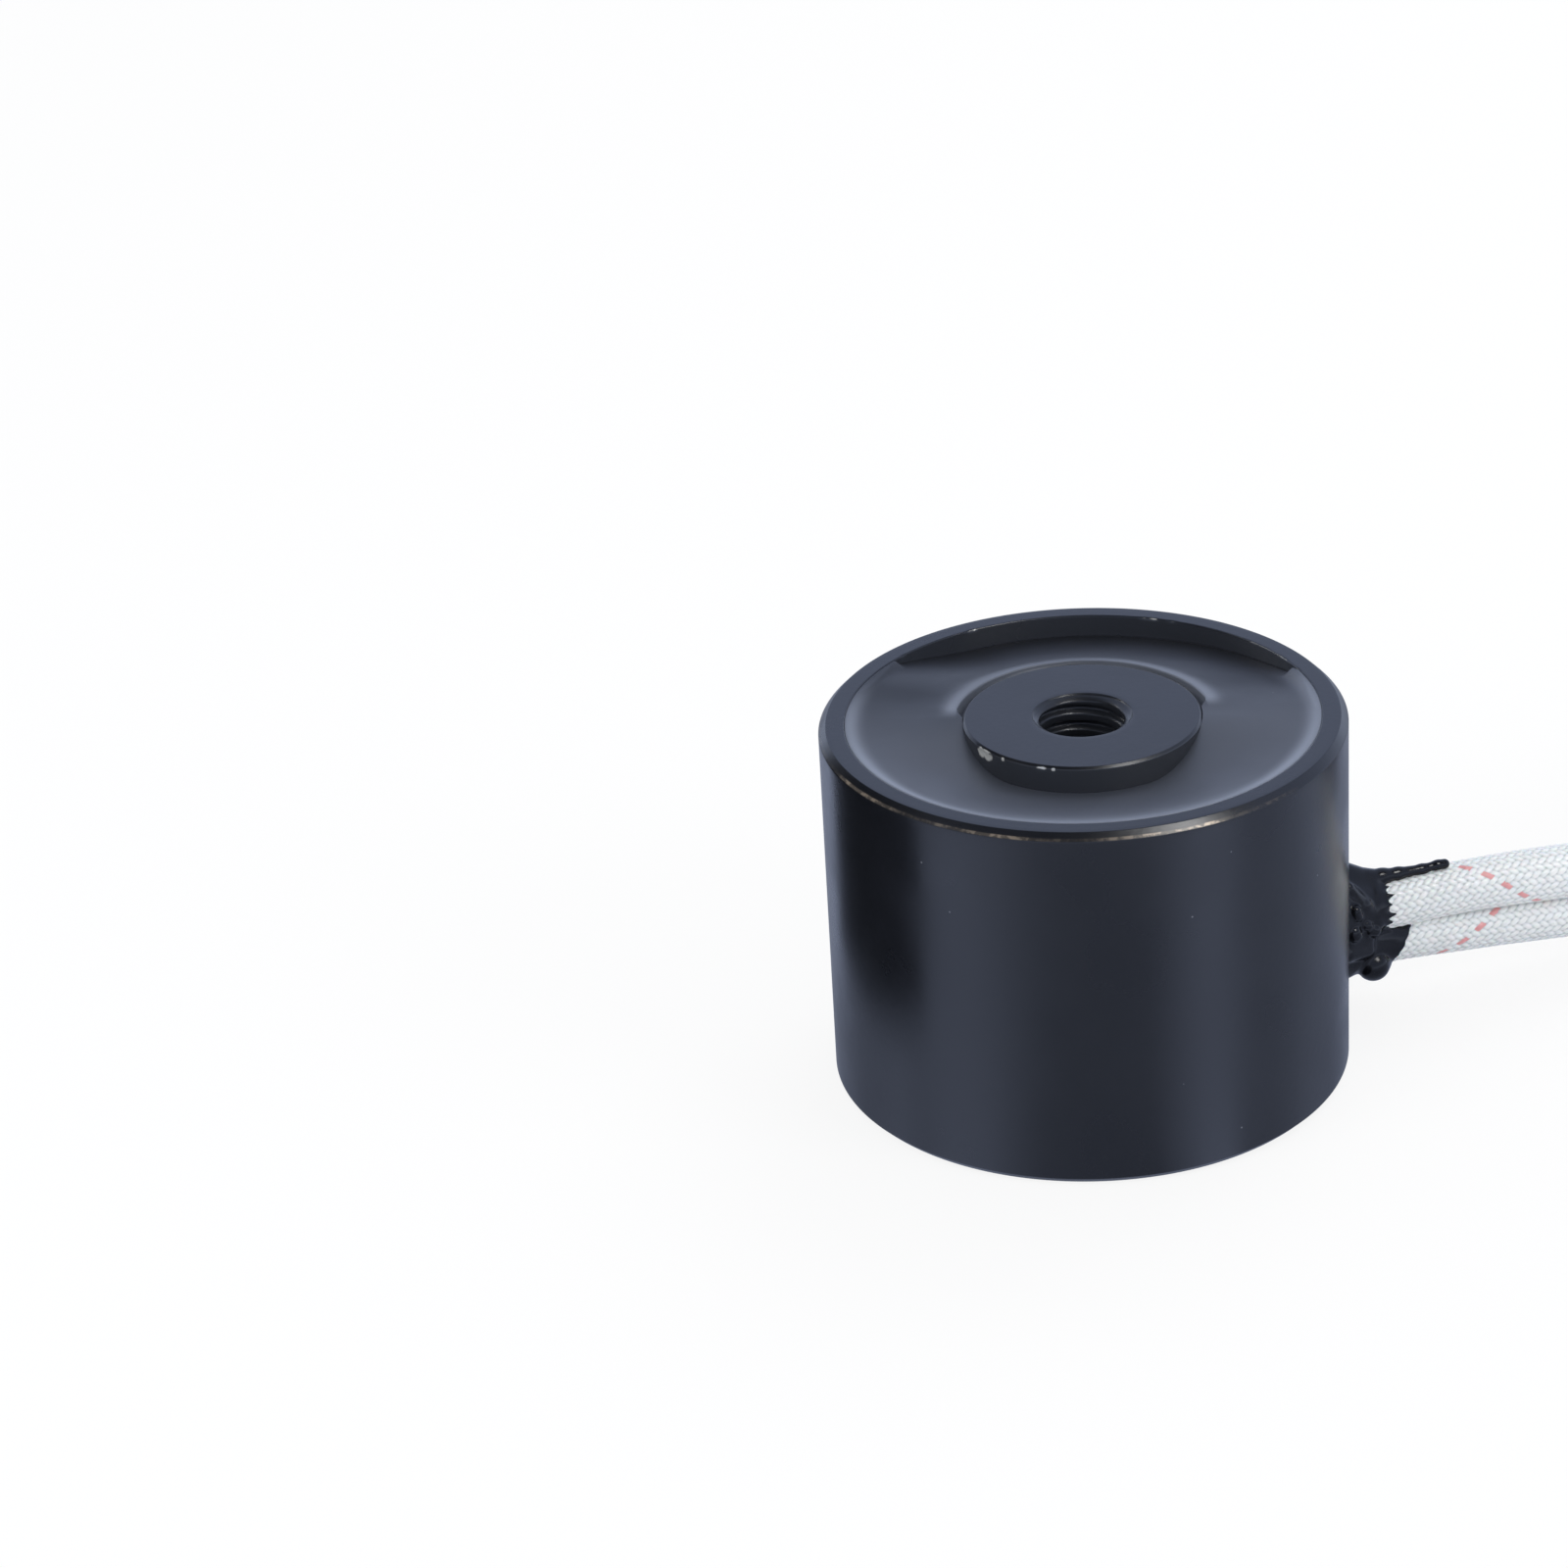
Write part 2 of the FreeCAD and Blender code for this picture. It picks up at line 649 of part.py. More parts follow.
def make_coil_ends():
    """The winding's two ends of enamelled wire, each led into a sleeve's bore."""
    radius = number("Sizes.magnet_wire / 2")
    offset = number("Sizes.sleeve_offset")
    joint = number(JOINT_START)
    bore_mouth = number(f"{CAVITY} - Sizes.sleeve_inside / 2")
    low_axis, high_axis = number(LOWER_AXIS), number(UPPER_AXIS)
    slot = number(f"{COIL_BOTTOM} - Sizes.wire_slot / 2")
    start_wire = [
        (number(BOBBIN_TUBE) + 2 * radius, offset, slot),
        (number(FLANGE) - 0.7, offset, slot),
        (bore_mouth, offset, low_axis),
        (joint, offset, low_axis),
    ]
    window = high_axis + number("Sizes.sleeve_diameter + Sizes.tape_window")
    surface = number(WINDING) + radius
    finish_wire = [
        (surface, -offset, window),
        (surface + 0.35, -offset, window - 1.1),
        (surface + 0.45, -offset, high_axis + 1.3),
        (bore_mouth, -offset, high_axis),
        (joint, -offset, high_axis),
    ]
    return [
        feature("coil_start_wire", bent_wire(start_wire, radius)),
        feature("coil_finish_wire", bent_wire(finish_wire, radius)),
    ]


shell = make_shell()
core = make_core()
bobbin = make_bobbin()
winding = make_winding()
tape = make_tape()
upper_outside, upper = make_lead(
    "upper", "-Sizes.sleeve_offset", UPPER_AXIS, UPPER_RUN, 1, UPPER_END
)
lower_outside, lower = make_lead(
    "lower", "Sizes.sleeve_offset", LOWER_AXIS, LOWER_RUN, 0, LOWER_END
)
coil_ends = make_coil_ends()
potting = make_potting([tape, upper_outside, lower_outside] + coil_ends)
sealant = make_sealant([upper_outside, lower_outside])
doc.recompute()

nodes = [shell, core, bobbin, winding, tape, potting, sealant] + coil_ends + upper + lower

# Nothing is written unless every object computed and every sub-part is one valid solid.
for thing in doc.Objects:
    if "Invalid" in thing.State or "Error" in thing.State:
        raise RuntimeError(f"{thing.Name} failed: {thing.State}")
for node in nodes:
    if node.Shape.isNull() or not node.Shape.isValid():
        raise RuntimeError(f"{node.Label} has no valid shape")
    if len(node.Shape.Solids) != 1:
        raise RuntimeError(f"{node.Label} has {len(node.Shape.Solids)} solids")

os.makedirs("parts", exist_ok=True)
for node in nodes:
    node.Shape.exportStep(f"parts/{node.Label}.step")
    print(f"{node.Label}: {node.Shape.Volume:.2f} cubic mm")
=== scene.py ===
import math

import bpy
import numpy as np
from mathutils import Matrix, Vector, noise


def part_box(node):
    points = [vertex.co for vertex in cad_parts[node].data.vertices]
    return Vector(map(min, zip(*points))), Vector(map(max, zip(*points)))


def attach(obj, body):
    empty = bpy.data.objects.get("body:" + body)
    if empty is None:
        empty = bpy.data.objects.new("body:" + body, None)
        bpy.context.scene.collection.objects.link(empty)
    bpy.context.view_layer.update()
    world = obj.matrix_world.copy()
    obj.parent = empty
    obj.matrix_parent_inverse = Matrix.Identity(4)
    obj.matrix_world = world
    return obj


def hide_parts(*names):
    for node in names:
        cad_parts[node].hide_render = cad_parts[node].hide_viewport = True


# Mini holding electromagnet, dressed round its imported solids: +Z up, pole face up, lead outlet
# on +X. Forms are worked out in millimetres and written to their meshes in metres.
MM = 0.001

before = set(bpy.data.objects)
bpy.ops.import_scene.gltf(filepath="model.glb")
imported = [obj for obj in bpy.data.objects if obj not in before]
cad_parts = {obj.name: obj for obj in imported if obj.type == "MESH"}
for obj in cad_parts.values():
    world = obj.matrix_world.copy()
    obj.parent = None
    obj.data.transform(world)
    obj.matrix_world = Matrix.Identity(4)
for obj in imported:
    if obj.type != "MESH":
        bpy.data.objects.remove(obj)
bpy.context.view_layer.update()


def turned_size(node):
    """The largest radius and the lowest and highest level of a turned node."""
    low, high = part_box(node)
    return -low[0] / MM, low[2] / MM, high[2] / MM


OUTER, _, TOP = turned_size("shell")
CORE = turned_size("centre_core")[0]
CAVITY, FLOOR, _ = turned_size("potting")
FLANGE, _, BOBBIN_TOP = turned_size("bobbin")
WINDING, COIL_BOTTOM, COIL_TOP = turned_size("coil_winding")
TAPE = WINDING + 0.15

# Turned parts
SPIGOT = 4.5
THREAD_BORE = 2.40
THREAD_ROOT = 2.78
THREAD_PITCH = 1.0
COUNTERSINK = 2.84
COUNTERSINK_SLOPE = 1.45
RIM_CHAMFER = 0.42
CORE_CHAMFER = 0.15
SHELL_CORNER = 0.5
OUTLET_HEIGHT = 5.1
OUTLET_HOLE = 3.0

# Direction that is away from the camera's side of the photographed pour, in degrees from +X.
FAR_SIDE = 75.0

# Leads and sleeves, in millimetres
LEAD_DIAMETER = 1.2
SLEEVE_RADIUS = 1.55
SLEEVE_BORE = 1.0
SLEEVE_START = 12.7
SLEEVE_END = 38.0
STRAND_BUNDLE = 0.7
TINNED_LENGTH = 4.0

# How far each sleeve, which hangs loose, is shifted on its lead: to the side, up near the
# outlet and up farther out. Its braid is turned by this many degrees and slipped along it by
# this many millimetres.
UPPER_SHIFT = (-0.25, -0.12, 0.06)
LOWER_SHIFT = (0.0, 0.15, 0.0)
UPPER_BRAID = (288.0, 0.56)
LOWER_BRAID = (-23.0, 0.0)

# Routes of the leads, in metres, from their jackets' inner ends to their coils, and from the
# coils to where the jackets end
UPPER_START = (0.0185, -0.0002, 0.00655)
UPPER_RUN = [
    (0.0260, -0.00020, 0.00655),
    (0.0380, -0.00030, 0.00560),
    (0.0500, 0.00000, 0.00437),
]
LOWER_START = (0.0185, 0.0002, 0.00365)
LOWER_RUN = [
    (0.0260, 0.00020, 0.00365),
    (0.0380, 0.00030, 0.00240),
    (0.0500, 0.00000, 0.00187),
]
UPPER_END = [
    (0.0525, -0.00115, 0.00300),
    (0.0550, -0.00215, 0.00225),
    (0.0575, -0.00320, 0.00150),
]
LOWER_END = [
    (0.0525, -0.00045, 0.00061),
    (0.0550, -0.00062, 0.00061),
    (0.0575, -0.00080, 0.00060),
]
COIL_CENTRE = (0.0505, 0.006825)
COIL_RADIUS = 0.0062
COIL_TURNS = 4
COIL_PITCH = 0.00125
TURN_POINTS = 24


# Camera: where the photograph was taken from, in millimetres and degrees in the part's frame

CAMERA_PLACE = (-78.652, -227.462, 138.020)
CAMERA_HEADING = -15.0
CAMERA_ELEVATION = 26.42
CAMERA_ROLL = -3.43
FOCAL_PIXELS = 4801.7
IMAGE_PIXELS = 1600.0
SENSOR_WIDTH = 36.0


def make_camera():
    camera = bpy.data.objects.new("camera", bpy.data.cameras.new("camera"))
    bpy.context.collection.objects.link(camera)
    camera.data.sensor_width = SENSOR_WIDTH
    camera.data.lens = SENSOR_WIDTH * FOCAL_PIXELS / IMAGE_PIXELS
    camera.data.clip_start = 0.01
    camera.data.clip_end = 10.0
    heading = Matrix.Rotation(math.radians(CAMERA_HEADING), 4, "Z")
    tilt = Matrix.Rotation(math.radians(90.0 - CAMERA_ELEVATION), 4, "X")
    roll = Matrix.Rotation(math.radians(CAMERA_ROLL), 4, "Z")
    camera.matrix_world = Matrix.Translation(Vector(CAMERA_PLACE) * MM) @ heading @ tilt @ roll
    bpy.context.scene.camera = camera


# Helpers that build meshes


def plain_mesh(name, places, faces, attributes=None):
    """An object from places in metres, with one number for each of them per attribute."""
    mesh = bpy.data.meshes.new(name)
    mesh.from_pydata(np.asarray(places, float).tolist(), [], faces)
    for label, values in (attributes or {}).items():
        layer = mesh.attributes.new(label, "FLOAT", "POINT")
        layer.data.foreach_set("value", np.asarray(values, np.float32).ravel())
    piece = bpy.data.objects.new(name, mesh)
    bpy.context.collection.objects.link(piece)
    return piece


def mesh_object(name, places, faces, attributes=None):
    """A smooth piece from places in millimetres, riding on the root."""
    piece = plain_mesh(name, np.asarray(places, float) * MM, faces, attributes)
    piece.data.polygons.foreach_set("use_smooth", [True] * len(piece.data.polygons))
    piece.data.validate()
    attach(piece, "root")
    return piece


def full_turn(columns):
    """Even angles once round, as one row."""
    return np.linspace(0.0, 2 * math.pi, columns, endpoint=False)[None, :]


def round_z(radius, angle):
    """X and Y at each radius and angle."""
    return radius * np.cos(angle), radius * np.sin(angle)


def ring_rows(outline, columns):
    """Rows of radius and of height, one for each point of an outline turned round Z."""
    return np.repeat(outline[:, :1], columns, axis=1), np.repeat(outline[:, 1:], columns, axis=1)


def band_faces(rows, columns, close_rows):
    """Quads between neighbouring rows of points, each row closed round."""
    faces = []
    for row in range(rows if close_rows else rows - 1):
        here, above = row * columns, (row + 1) % rows * columns
        for column in range(columns):
            beside = (column + 1) % columns
            faces.append((here + column, here + beside, above + beside, above + column))
    return faces


def turned_solid(name, radius, height, attributes):
    """A solid round Z from arrays of radius and height, one row per ring of points."""
    rows, columns = radius.shape
    places = np.stack([*round_z(radius, full_turn(columns)), height], axis=-1)
    faces = band_faces(rows, columns, True)
    return mesh_object(name, places.reshape(-1, 3), faces, attributes)


def rounded_corners(corners, steps=5):
    """A closed outline through (radius, height, rounding) corners, with arcs at the roundings."""
    outline = []
    for index, (across, up, rounding) in enumerate(corners):
        corner = np.array([across, up])
        if not rounding:
            outline.append(corner)
            continue
        before = np.array(corners[index - 1][:2]) - corner
        after = np.array(corners[(index + 1) % len(corners)][:2]) - corner
        before /= np.linalg.norm(before)
        after /= np.linalg.norm(after)
        half = math.acos(float(np.clip(before @ after, -1, 1))) / 2
        setback = rounding / math.tan(half)
        middle = (before + after) / np.linalg.norm(before + after)
        centre = corner + middle * rounding / math.sin(half)
        first = corner + before * setback - centre
        last = corner + after * setback - centre
        for step in range(steps + 1):
            share = step / steps
            blend = first * (1 - share) + last * share
            outline.append(centre + blend / np.linalg.norm(blend) * rounding)
    return np.array(outline)


def subdivided(outline, longest, place=(0.0, 0.0), reach=math.inf):
    """The closed outline with points added, so that no step near the place is longer than this."""
    points = []
    for index, point in enumerate(outline):
        following = outline[(index + 1) % len(outline)]
        near = np.linalg.norm((point + following) / 2 - np.array(place)) < reach
        length = float(np.linalg.norm(following - point))
        count = max(1, math.ceil(length / longest)) if near else 1
        for step in range(count):
            points.append(point + (following - point) * step / count)
    return np.array(points)


def smooth_step(value, low, high):
    share = np.clip((value - low) / (high - low), 0.0, 1.0)
    return share * share * (3 - 2 * share)


def angle_apart(first, second):
    """The turn from the second angle to the first, from -180 to 180 degrees."""
    return (first - second + 180.0) % 360.0 - 180.0


def ripple(across, along, height, scale, seed):
    """Smooth unevenness from -1 to 1, the same each run."""
    flat = zip(np.ravel(across) / scale, np.ravel(along) / scale, np.ravel(height) / scale)
    values = [noise.noise((x + seed, y - seed, z + 2 * seed)) for x, y, z in flat]
    return np.array(values).reshape(np.shape(across))


# Steel pot

# Chips in the coat of the mouth's inner edge: angle from the far side in degrees, clockwise
# from above, half the width in degrees, and how deep it goes.
RIM_CHIPS = [
    (-24.0, 1.6, 0.7),
    (-46.0, 1.0, 0.6),
    (22.0, 2.6, 0.6),
    (28.0, 1.0, 0.5),
    (54.0, 5.0, 0.45),
    (64.0, 2.5, 0.7),
    (72.0, 1.4, 0.5),
]


def make_shell():
    """The pot with eased edges, and the coat chipped along the mouth's inner edge."""
    corners = [
        (SPIGOT, 0.0, 0),
        (OUTER - RIM_CHAMFER, 0.0, 0.12),
        (OUTER, RIM_CHAMFER, 0.12),
        (OUTER, TOP - RIM_CHAMFER, 0.10),
        (OUTER - RIM_CHAMFER, TOP, 0.07),
        (CAVITY, TOP, 0.09),
        (CAVITY, FLOOR + SHELL_CORNER, 0.3),
        (CAVITY - SHELL_CORNER, FLOOR, 0.3),
        (SPIGOT, FLOOR, 0),
    ]
    outline = subdivided(rounded_corners(corners), 0.4)
    outline = subdivided(outline, 0.05, (CAVITY, TOP), 0.6)
    columns = 720
    radius, height = ring_rows(outline, columns)
    angle = np.linspace(0.0, 360.0, columns, endpoint=False)[None, :]
    across, along = round_z(radius, np.radians(angle))

    chips = np.zeros_like(radius)
    mouth = np.exp(-(((radius - CAVITY) / 0.09) ** 2 + ((height - TOP) / 0.13) ** 2))
    for place, width, depth in RIM_CHIPS:
        beyond = np.abs(angle_apart(angle, FAR_SIDE - place)) / width
        chips = np.maximum(chips, depth * np.exp(-(beyond**4)))
    rough = 0.6 + 0.4 * ripple(across, along, height, 0.35, 3.0)
    chips = chips * mouth * np.clip(rough, 0.0, 1.0)
    radius = radius + 0.10 * chips
    height = height - 0.06 * chips

    # Painted light: a paler coat colour down the inner wall, where little light falls
    painted_recess_fill = (np.abs(radius - CAVITY) < 0.03) & (height < TOP - 0.08)
    pot = turned_solid("pot_shell", radius, height, {"chipped": chips, "painted_recess_fill": painted_recess_fill})
    drill = drilled_outlet()
    cut = pot.modifiers.new("outlet", "BOOLEAN")
    cut.operation = "DIFFERENCE"
    cut.solver = "EXACT"
    cut.object = drill
    apply_modifiers(pot)
    bpy.data.objects.remove(drill)
    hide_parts("shell")
    return pot


def drilled_outlet():
    """The cross drill that the leads' hole is cut with."""
    columns = 96
    places = []
    for across in (CAVITY - 2.0, OUTER + 2.0):
        for turn in full_turn(columns)[0]:
            up = OUTLET_HEIGHT + OUTLET_HOLE * math.sin(turn)
            places.append((across, OUTLET_HOLE * math.cos(turn), up))
    faces = band_faces(2, columns, False)
    faces.append(tuple(range(columns))[::-1])
    faces.append(tuple(range(columns, 2 * columns)))
    return plain_mesh("drill", np.array(places) * MM, faces)


def apply_modifiers(piece):
    """Write the piece's modified form into its mesh and drop the modifiers."""
    graph = bpy.context.evaluated_depsgraph_get()
    finished = bpy.data.meshes.new_from_object(piece.evaluated_get(graph))
    piece.modifiers.clear()
    piece.data = finished


# Centre core

# Chips at the core's edge: angle and half width as for the rim's, depth, and half the height.
CORE_CHIPS = [
    (-121.5, 6.2, 1.0, 0.30),
    (-134.4, 1.2, 0.7, 0.14),
    (-155.2, 3.4, 0.62, 0.12),
    (-161.5, 1.1, 0.8, 0.13),
]


def make_core():
    """The core with its cut thread, the countersinks and the chipped front of its chamfer."""
    corners = [
        (COUNTERSINK, 0.0, 0.03),
        (SPIGOT, 0.0, 0),
        (SPIGOT, FLOOR, 0),
        (CORE, FLOOR, 0),
        (CORE, TOP - CORE_CHAMFER, 0.05),
        (CORE - CORE_CHAMFER, TOP, 0.05),
        (COUNTERSINK, TOP, 0.05),
    ]
    columns = 360
    outline = rounded_corners(corners)
    first = outline[-1]
    outline = subdivided(subdivided(outline, 0.35), 0.05, (CORE, TOP), 0.6)
    last_row = int(np.argmin(np.linalg.norm(outline - first, axis=1)))
    outline = outline[: last_row + 1]
    radius, height = ring_rows(outline, columns)
    angle = full_turn(columns)

    levels = np.arange(first[1] - 0.05, 0.05, -THREAD_PITCH / 14)[:, None]
    turns = levels / THREAD_PITCH - angle / (2 * math.pi)
    groove = np.abs((turns % 1.0) - 0.5) * 2
    groove = smooth_step(groove, 0.38, 0.80)
    inward = np.minimum(levels, TOP - levels)
    groove = groove * smooth_step(inward, 0.20, 0.60)
    thread = THREAD_BORE + (THREAD_ROOT - THREAD_BORE) * groove
    upper_cone = COUNTERSINK - (TOP - levels) * COUNTERSINK_SLOPE
    lower_cone = COUNTERSINK - levels * COUNTERSINK_SLOPE
    bore = np.maximum(np.maximum(thread, upper_cone), lower_cone)
    radius = np.concatenate([radius, bore])
    height = np.concatenate([height, np.repeat(levels, columns, axis=1)])

    degrees = np.degrees(angle)
    chips = np.zeros_like(radius)
    for place, width, depth, reach in CORE_CHIPS:
        beyond = np.abs(angle_apart(degrees, FAR_SIDE - place)) / width
        down = (TOP - 0.04 - reach - height) / reach
        edge = np.exp(-(((radius - CORE) / 0.12) ** 2 + down**2))
        chips = np.maximum(chips, depth * edge * np.exp(-(beyond**4)))
    across, along = round_z(radius, angle)
    rough = np.clip(0.75 + 0.5 * ripple(across, along, height, 0.25, 5.0), 0.0, 1.0)
    chips = chips * rough
    # Painted light: a paler coat colour on the core's side and, half as strong, in the thread
    side = (radius > CORE - 0.03) & (height < TOP - 0.1)
    in_thread = (radius < THREAD_ROOT + 0.01) & (height < TOP - 0.36)
    painted_recess_fill = np.where(side, 1.0, np.where(in_thread, 0.5, 0.0))
    radius = radius - 0.07 * chips
    marks = {"chipped": chips, "painted_recess_fill": painted_recess_fill}
    core = turned_solid("core_body", radius, height, marks)
    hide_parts("centre_core")
    return core


# Cast resin

LIP_WIDTH = 0.45
MOAT_DEPTH = 0.65

# How strongly a painted reflection lightens the resin on the near side, along the rim and on the
# lip
NEAR_REFLECTION = 0.23
RIM_REFLECTION = 0.55
LIP_REFLECTION = 0.72

# The casting's own edges, just clear of the steel
AT_CORE = CORE + 0.005
AT_WALL = CAVITY - 0.01


def pour_at_core(beyond):
    """How far the resin stands below the pole face where it meets the core."""
    right = smooth_step(beyond, 96.0, 152.0)
    left = smooth_step(-beyond, 82.0, 140.0) ** 0.8
    return 1.52 * np.maximum(right, left)


def pour_at_rim(beyond):
    """How far it stands below the rim, which it only leaves on the far side."""
    left = 1.34 * (1 - smooth_step(-beyond, 22.0, 64.0))
    right = 1.34 * (1 - 0.22 * smooth_step(beyond, 15.0, 60.0))
    right = right * (1 - smooth_step(beyond, 50.0, 90.0))
    return np.where(beyond < 0, left, right) + 0.05


def torn_edge(beyond, from_rim):
    """Resin left standing against the rim where the pour tore off it, in ragged steps."""
    right = smooth_step(beyond, 67.0, 69.0) * (1 - smooth_step(beyond, 84.0, 96.0))
    left = smooth_step(-beyond, 47.0, 50.0) * (1 - smooth_step(-beyond, 58.0, 70.0))
    return (0.42 * right + 0.34 * left) * (1 - smooth_step(from_rim, 0.05, 0.75))


def painted_resin_reflection(radius, beyond, lip):
    """Where the resin gets a painted reflection: along the rim, over the near side and on the lip.
    """
    away = np.abs(beyond)
    from_rim = CAVITY - radius
    width = 0.50 + 0.55 * smooth_step(away, 125.0, 165.0)
    ring = np.exp(-(((from_rim - 0.30) / width) ** 2)) * smooth_step(away, 58.0, 84.0)
    ring = ring * (1 + 0.40 * np.exp(-(((away - 128.0) / 24.0) ** 2)))
    near_side = NEAR_REFLECTION * smooth_step(away, 62.0, 104.0)
    on_lip = np.exp(-(((radius - CORE - LIP_WIDTH - 0.25) / 0.55) ** 2)) * lip
    on_lip = np.where(radius > CORE + LIP_WIDTH * 0.85, on_lip, 0.0)
    on_lip = on_lip * (0.45 + 0.55 * np.abs(np.sin(np.radians(beyond))))
    return np.clip(near_side + RIM_REFLECTION * ring + LIP_REFLECTION * on_lip, 0.0, 1.0)


def poured_surface(angle, beyond, lip):
    """Rows of radius and of depth under the pole face, from the core out to the wall."""
    facing = np.cos(np.radians(beyond))
    sideways = np.abs(np.sin(np.radians(beyond)))
    wander = 1.0 + 0.12 * ripple(*round_z(1.0, angle), angle * 0, 0.25, 2.0)
    lip_radius = CORE + 0.02 + LIP_WIDTH * lip * wander
    at_core = pour_at_core(beyond) + 0.05
    at_rim = pour_at_rim(beyond)
    far = smooth_step(facing, -0.25, 0.45)
    near = 1 - smooth_step(facing, 0.30, 0.62)
    moat = MOAT_DEPTH * smooth_step(lip, 0.0, 0.8) * (0.35 + 0.65 * sideways)

    rows = []
    for share in (0.0, 0.4, 0.75):
        radius = AT_CORE + (lip_radius - 0.10 * lip - AT_CORE) * share
        rows.append((radius, at_core + moat * (1 - 0.25 * share)))
    for share, drop in ((0.9, 0.55), (0.97, 0.2), (1.0, 0.05)):
        rows.append((AT_CORE + (lip_radius - AT_CORE) * share, at_core + moat * drop))
    rings = 72
    for ring in range(1, rings + 1):
        share = (ring / rings) ** 1.15
        radius = lip_radius + (AT_WALL - lip_radius) * share
        near_profile = share**1.15
        far_profile = 1 - (1 - share) ** 1.3
        climb = near_profile * (1 - far) + far_profile * far
        depth = at_core * (1 - climb) + at_rim * climb
        depth = depth - 0.05 * lip * np.exp(-(((share - 0.10) / 0.09) ** 2))
        from_rim = CAVITY - radius
        sunk = (0.04 + 0.14 * sideways) * smooth_step(from_rim, 0.0, 1.3) * near
        creep = np.exp(-from_rim / 0.35) * 0.07
        depth = depth + sunk * smooth_step(share, 0.0, 0.5) - creep - torn_edge(beyond, from_rim)
        rows.append((radius, np.maximum(depth, 0.03)))
    radius = np.concatenate([row[0] for row in rows])
    depth = np.concatenate([row[1] for row in rows])

    away_from_edges = smooth_step(radius, CORE + 0.6, CORE + 1.6)
    away_from_edges = away_from_edges * (1 - smooth_step(radius, CAVITY - 0.8, CAVITY))
    waves = ripple(*round_z(radius, angle), depth * 0, 2.6, 4.0)
    return radius, depth + 0.022 * away_from_edges * waves


def make_potting():
    """The casting: hand-poured top with its moat behind the core, and the hollow of the coil."""
    columns = 540
    angle = full_turn(columns)
    beyond = angle_apart(FAR_SIDE, np.degrees(angle))
    lip = smooth_step(beyond, -86.0, -74.0) * (1 - smooth_step(beyond, 78.0, 89.0))
    radius, depth = poured_surface(angle, beyond, lip)

    section = [
        (AT_WALL, FLOOR + SHELL_CORNER),
        (CAVITY - SHELL_CORNER, FLOOR),
        (FLANGE, FLOOR),
        (FLANGE, COIL_BOTTOM),
        (TAPE, COIL_BOTTOM),
        (TAPE, COIL_TOP),
        (FLANGE, COIL_TOP),
        (FLANGE, BOBBIN_TOP),
        (AT_CORE, BOBBIN_TOP),
    ]
    hollow = np.repeat(np.array(section)[:, :, None], columns, axis=2)
    radius = np.concatenate([radius, hollow[:, 0]])[::-1]
    height = np.concatenate([TOP - depth, hollow[:, 1]])[::-1]
    # Painted reflection: how much lighter the resin's colour is near the rim, on the near side and
    # on the lip
    marks = {"painted_reflection": painted_resin_reflection(radius, beyond, lip)}
    casting = turned_solid("potting_cast", radius, height, marks)
    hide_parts("potting")
    return casting


# Leads: the jackets are the cords, and their sleeves and bare ends go with them.


def coil_points(layer):
    """The put-away turns: four strands that keep side by side as the bundle rolls over.

    Each turn moves a quarter of the way round the bundle's square section, and the last
    slides out past the others to leave the coil.
    """
    square = COIL_PITCH / math.sqrt(2)
    thick = LEAD_DIAMETER * MM
    points = []
    for step in range(1, COIL_TURNS * TURN_POINTS):
        turns = step / TURN_POINTS
        around = math.radians(-90 + 360 * turns)
        within = turns % 1.0
        spread = square * math.sin(math.radians(45 + 90 * within))
        middle = thick / 2 + spread + layer * (2 * spread + thick)
        slot = math.radians(45 + 90 * min(turns, COIL_TURNS - 1))
        reach = COIL_RADIUS + square * math.cos(slot)
        level = middle + square * math.sin(slot)
        if turns > COIL_TURNS - 1:
            out = float(smooth_step(within, 0.0, 0.9))
            reach += COIL_PITCH * out
            fallen = thick / 2 + layer * thick
            level = middle - spread * math.sqrt(0.5)
            level = level * (1 - out) + fallen * out
        reach /= math.cos(math.pi / TURN_POINTS)
        across = COIL_CENTRE[0] + reach * math.cos(around)
        points.append((across, COIL_CENTRE[1] + reach * math.sin(around), level))
    return points


def nurbs_curve(name, route):
    """A smooth curve with the route's points as its control points."""
    data = bpy.data.curves.new(name, "CURVE")
    data.dimensions = "3D"
    data.resolution_u = 8
    data.use_fill_caps = True
    data.bevel_resolution = 6
    spline = data.splines.new("NURBS")
    spline.points.add(len(route) - 1)
    for point, place in zip(spline.points, route):
        point.co = (*place, 1.0)
        point.radius = LEAD_DIAMETER / 2 * MM
    spline.order_u = 3
    spline.use_endpoint_u = True
    curve = bpy.data.objects.new(name, data)
    bpy.context.collection.objects.link(curve)
    return curve


def centreline(curve):
    """The curve's own line as points, in millimetres."""
    bevel = curve.data.bevel_depth
    curve.data.bevel_depth = 0.0
    curve.data.resolution_u = 24
    bpy.context.view_layer.update()
    graph = bpy.context.evaluated_depsgraph_get()
    line = bpy.data.meshes.new_from_object(curve.evaluated_get(graph))
    points = np.array([vertex.co for vertex in line.vertices]) / MM
    bpy.data.meshes.remove(line)
    curve.data.bevel_depth = bevel
    curve.data.resolution_u = 8
    return points


def interpolated(wanted, known, points):
    """Places on a line where a value that is known for each of its points is as wanted."""
    return np.stack([np.interp(wanted, known, points[:, k]) for k in range(3)], axis=1)


def stations(points, step):
    """Evenly spaced points along a line, with their distances."""
    gaps = np.linalg.norm(np.diff(points, axis=0), axis=1)
    travelled = np.concatenate([[0.0], np.cumsum(gaps)])
    count = max(2, int(round(travelled[-1] / step)) + 1)
    wanted = np.linspace(0.0, travelled[-1], count)
    return interpolated(wanted, travelled, points), wanted


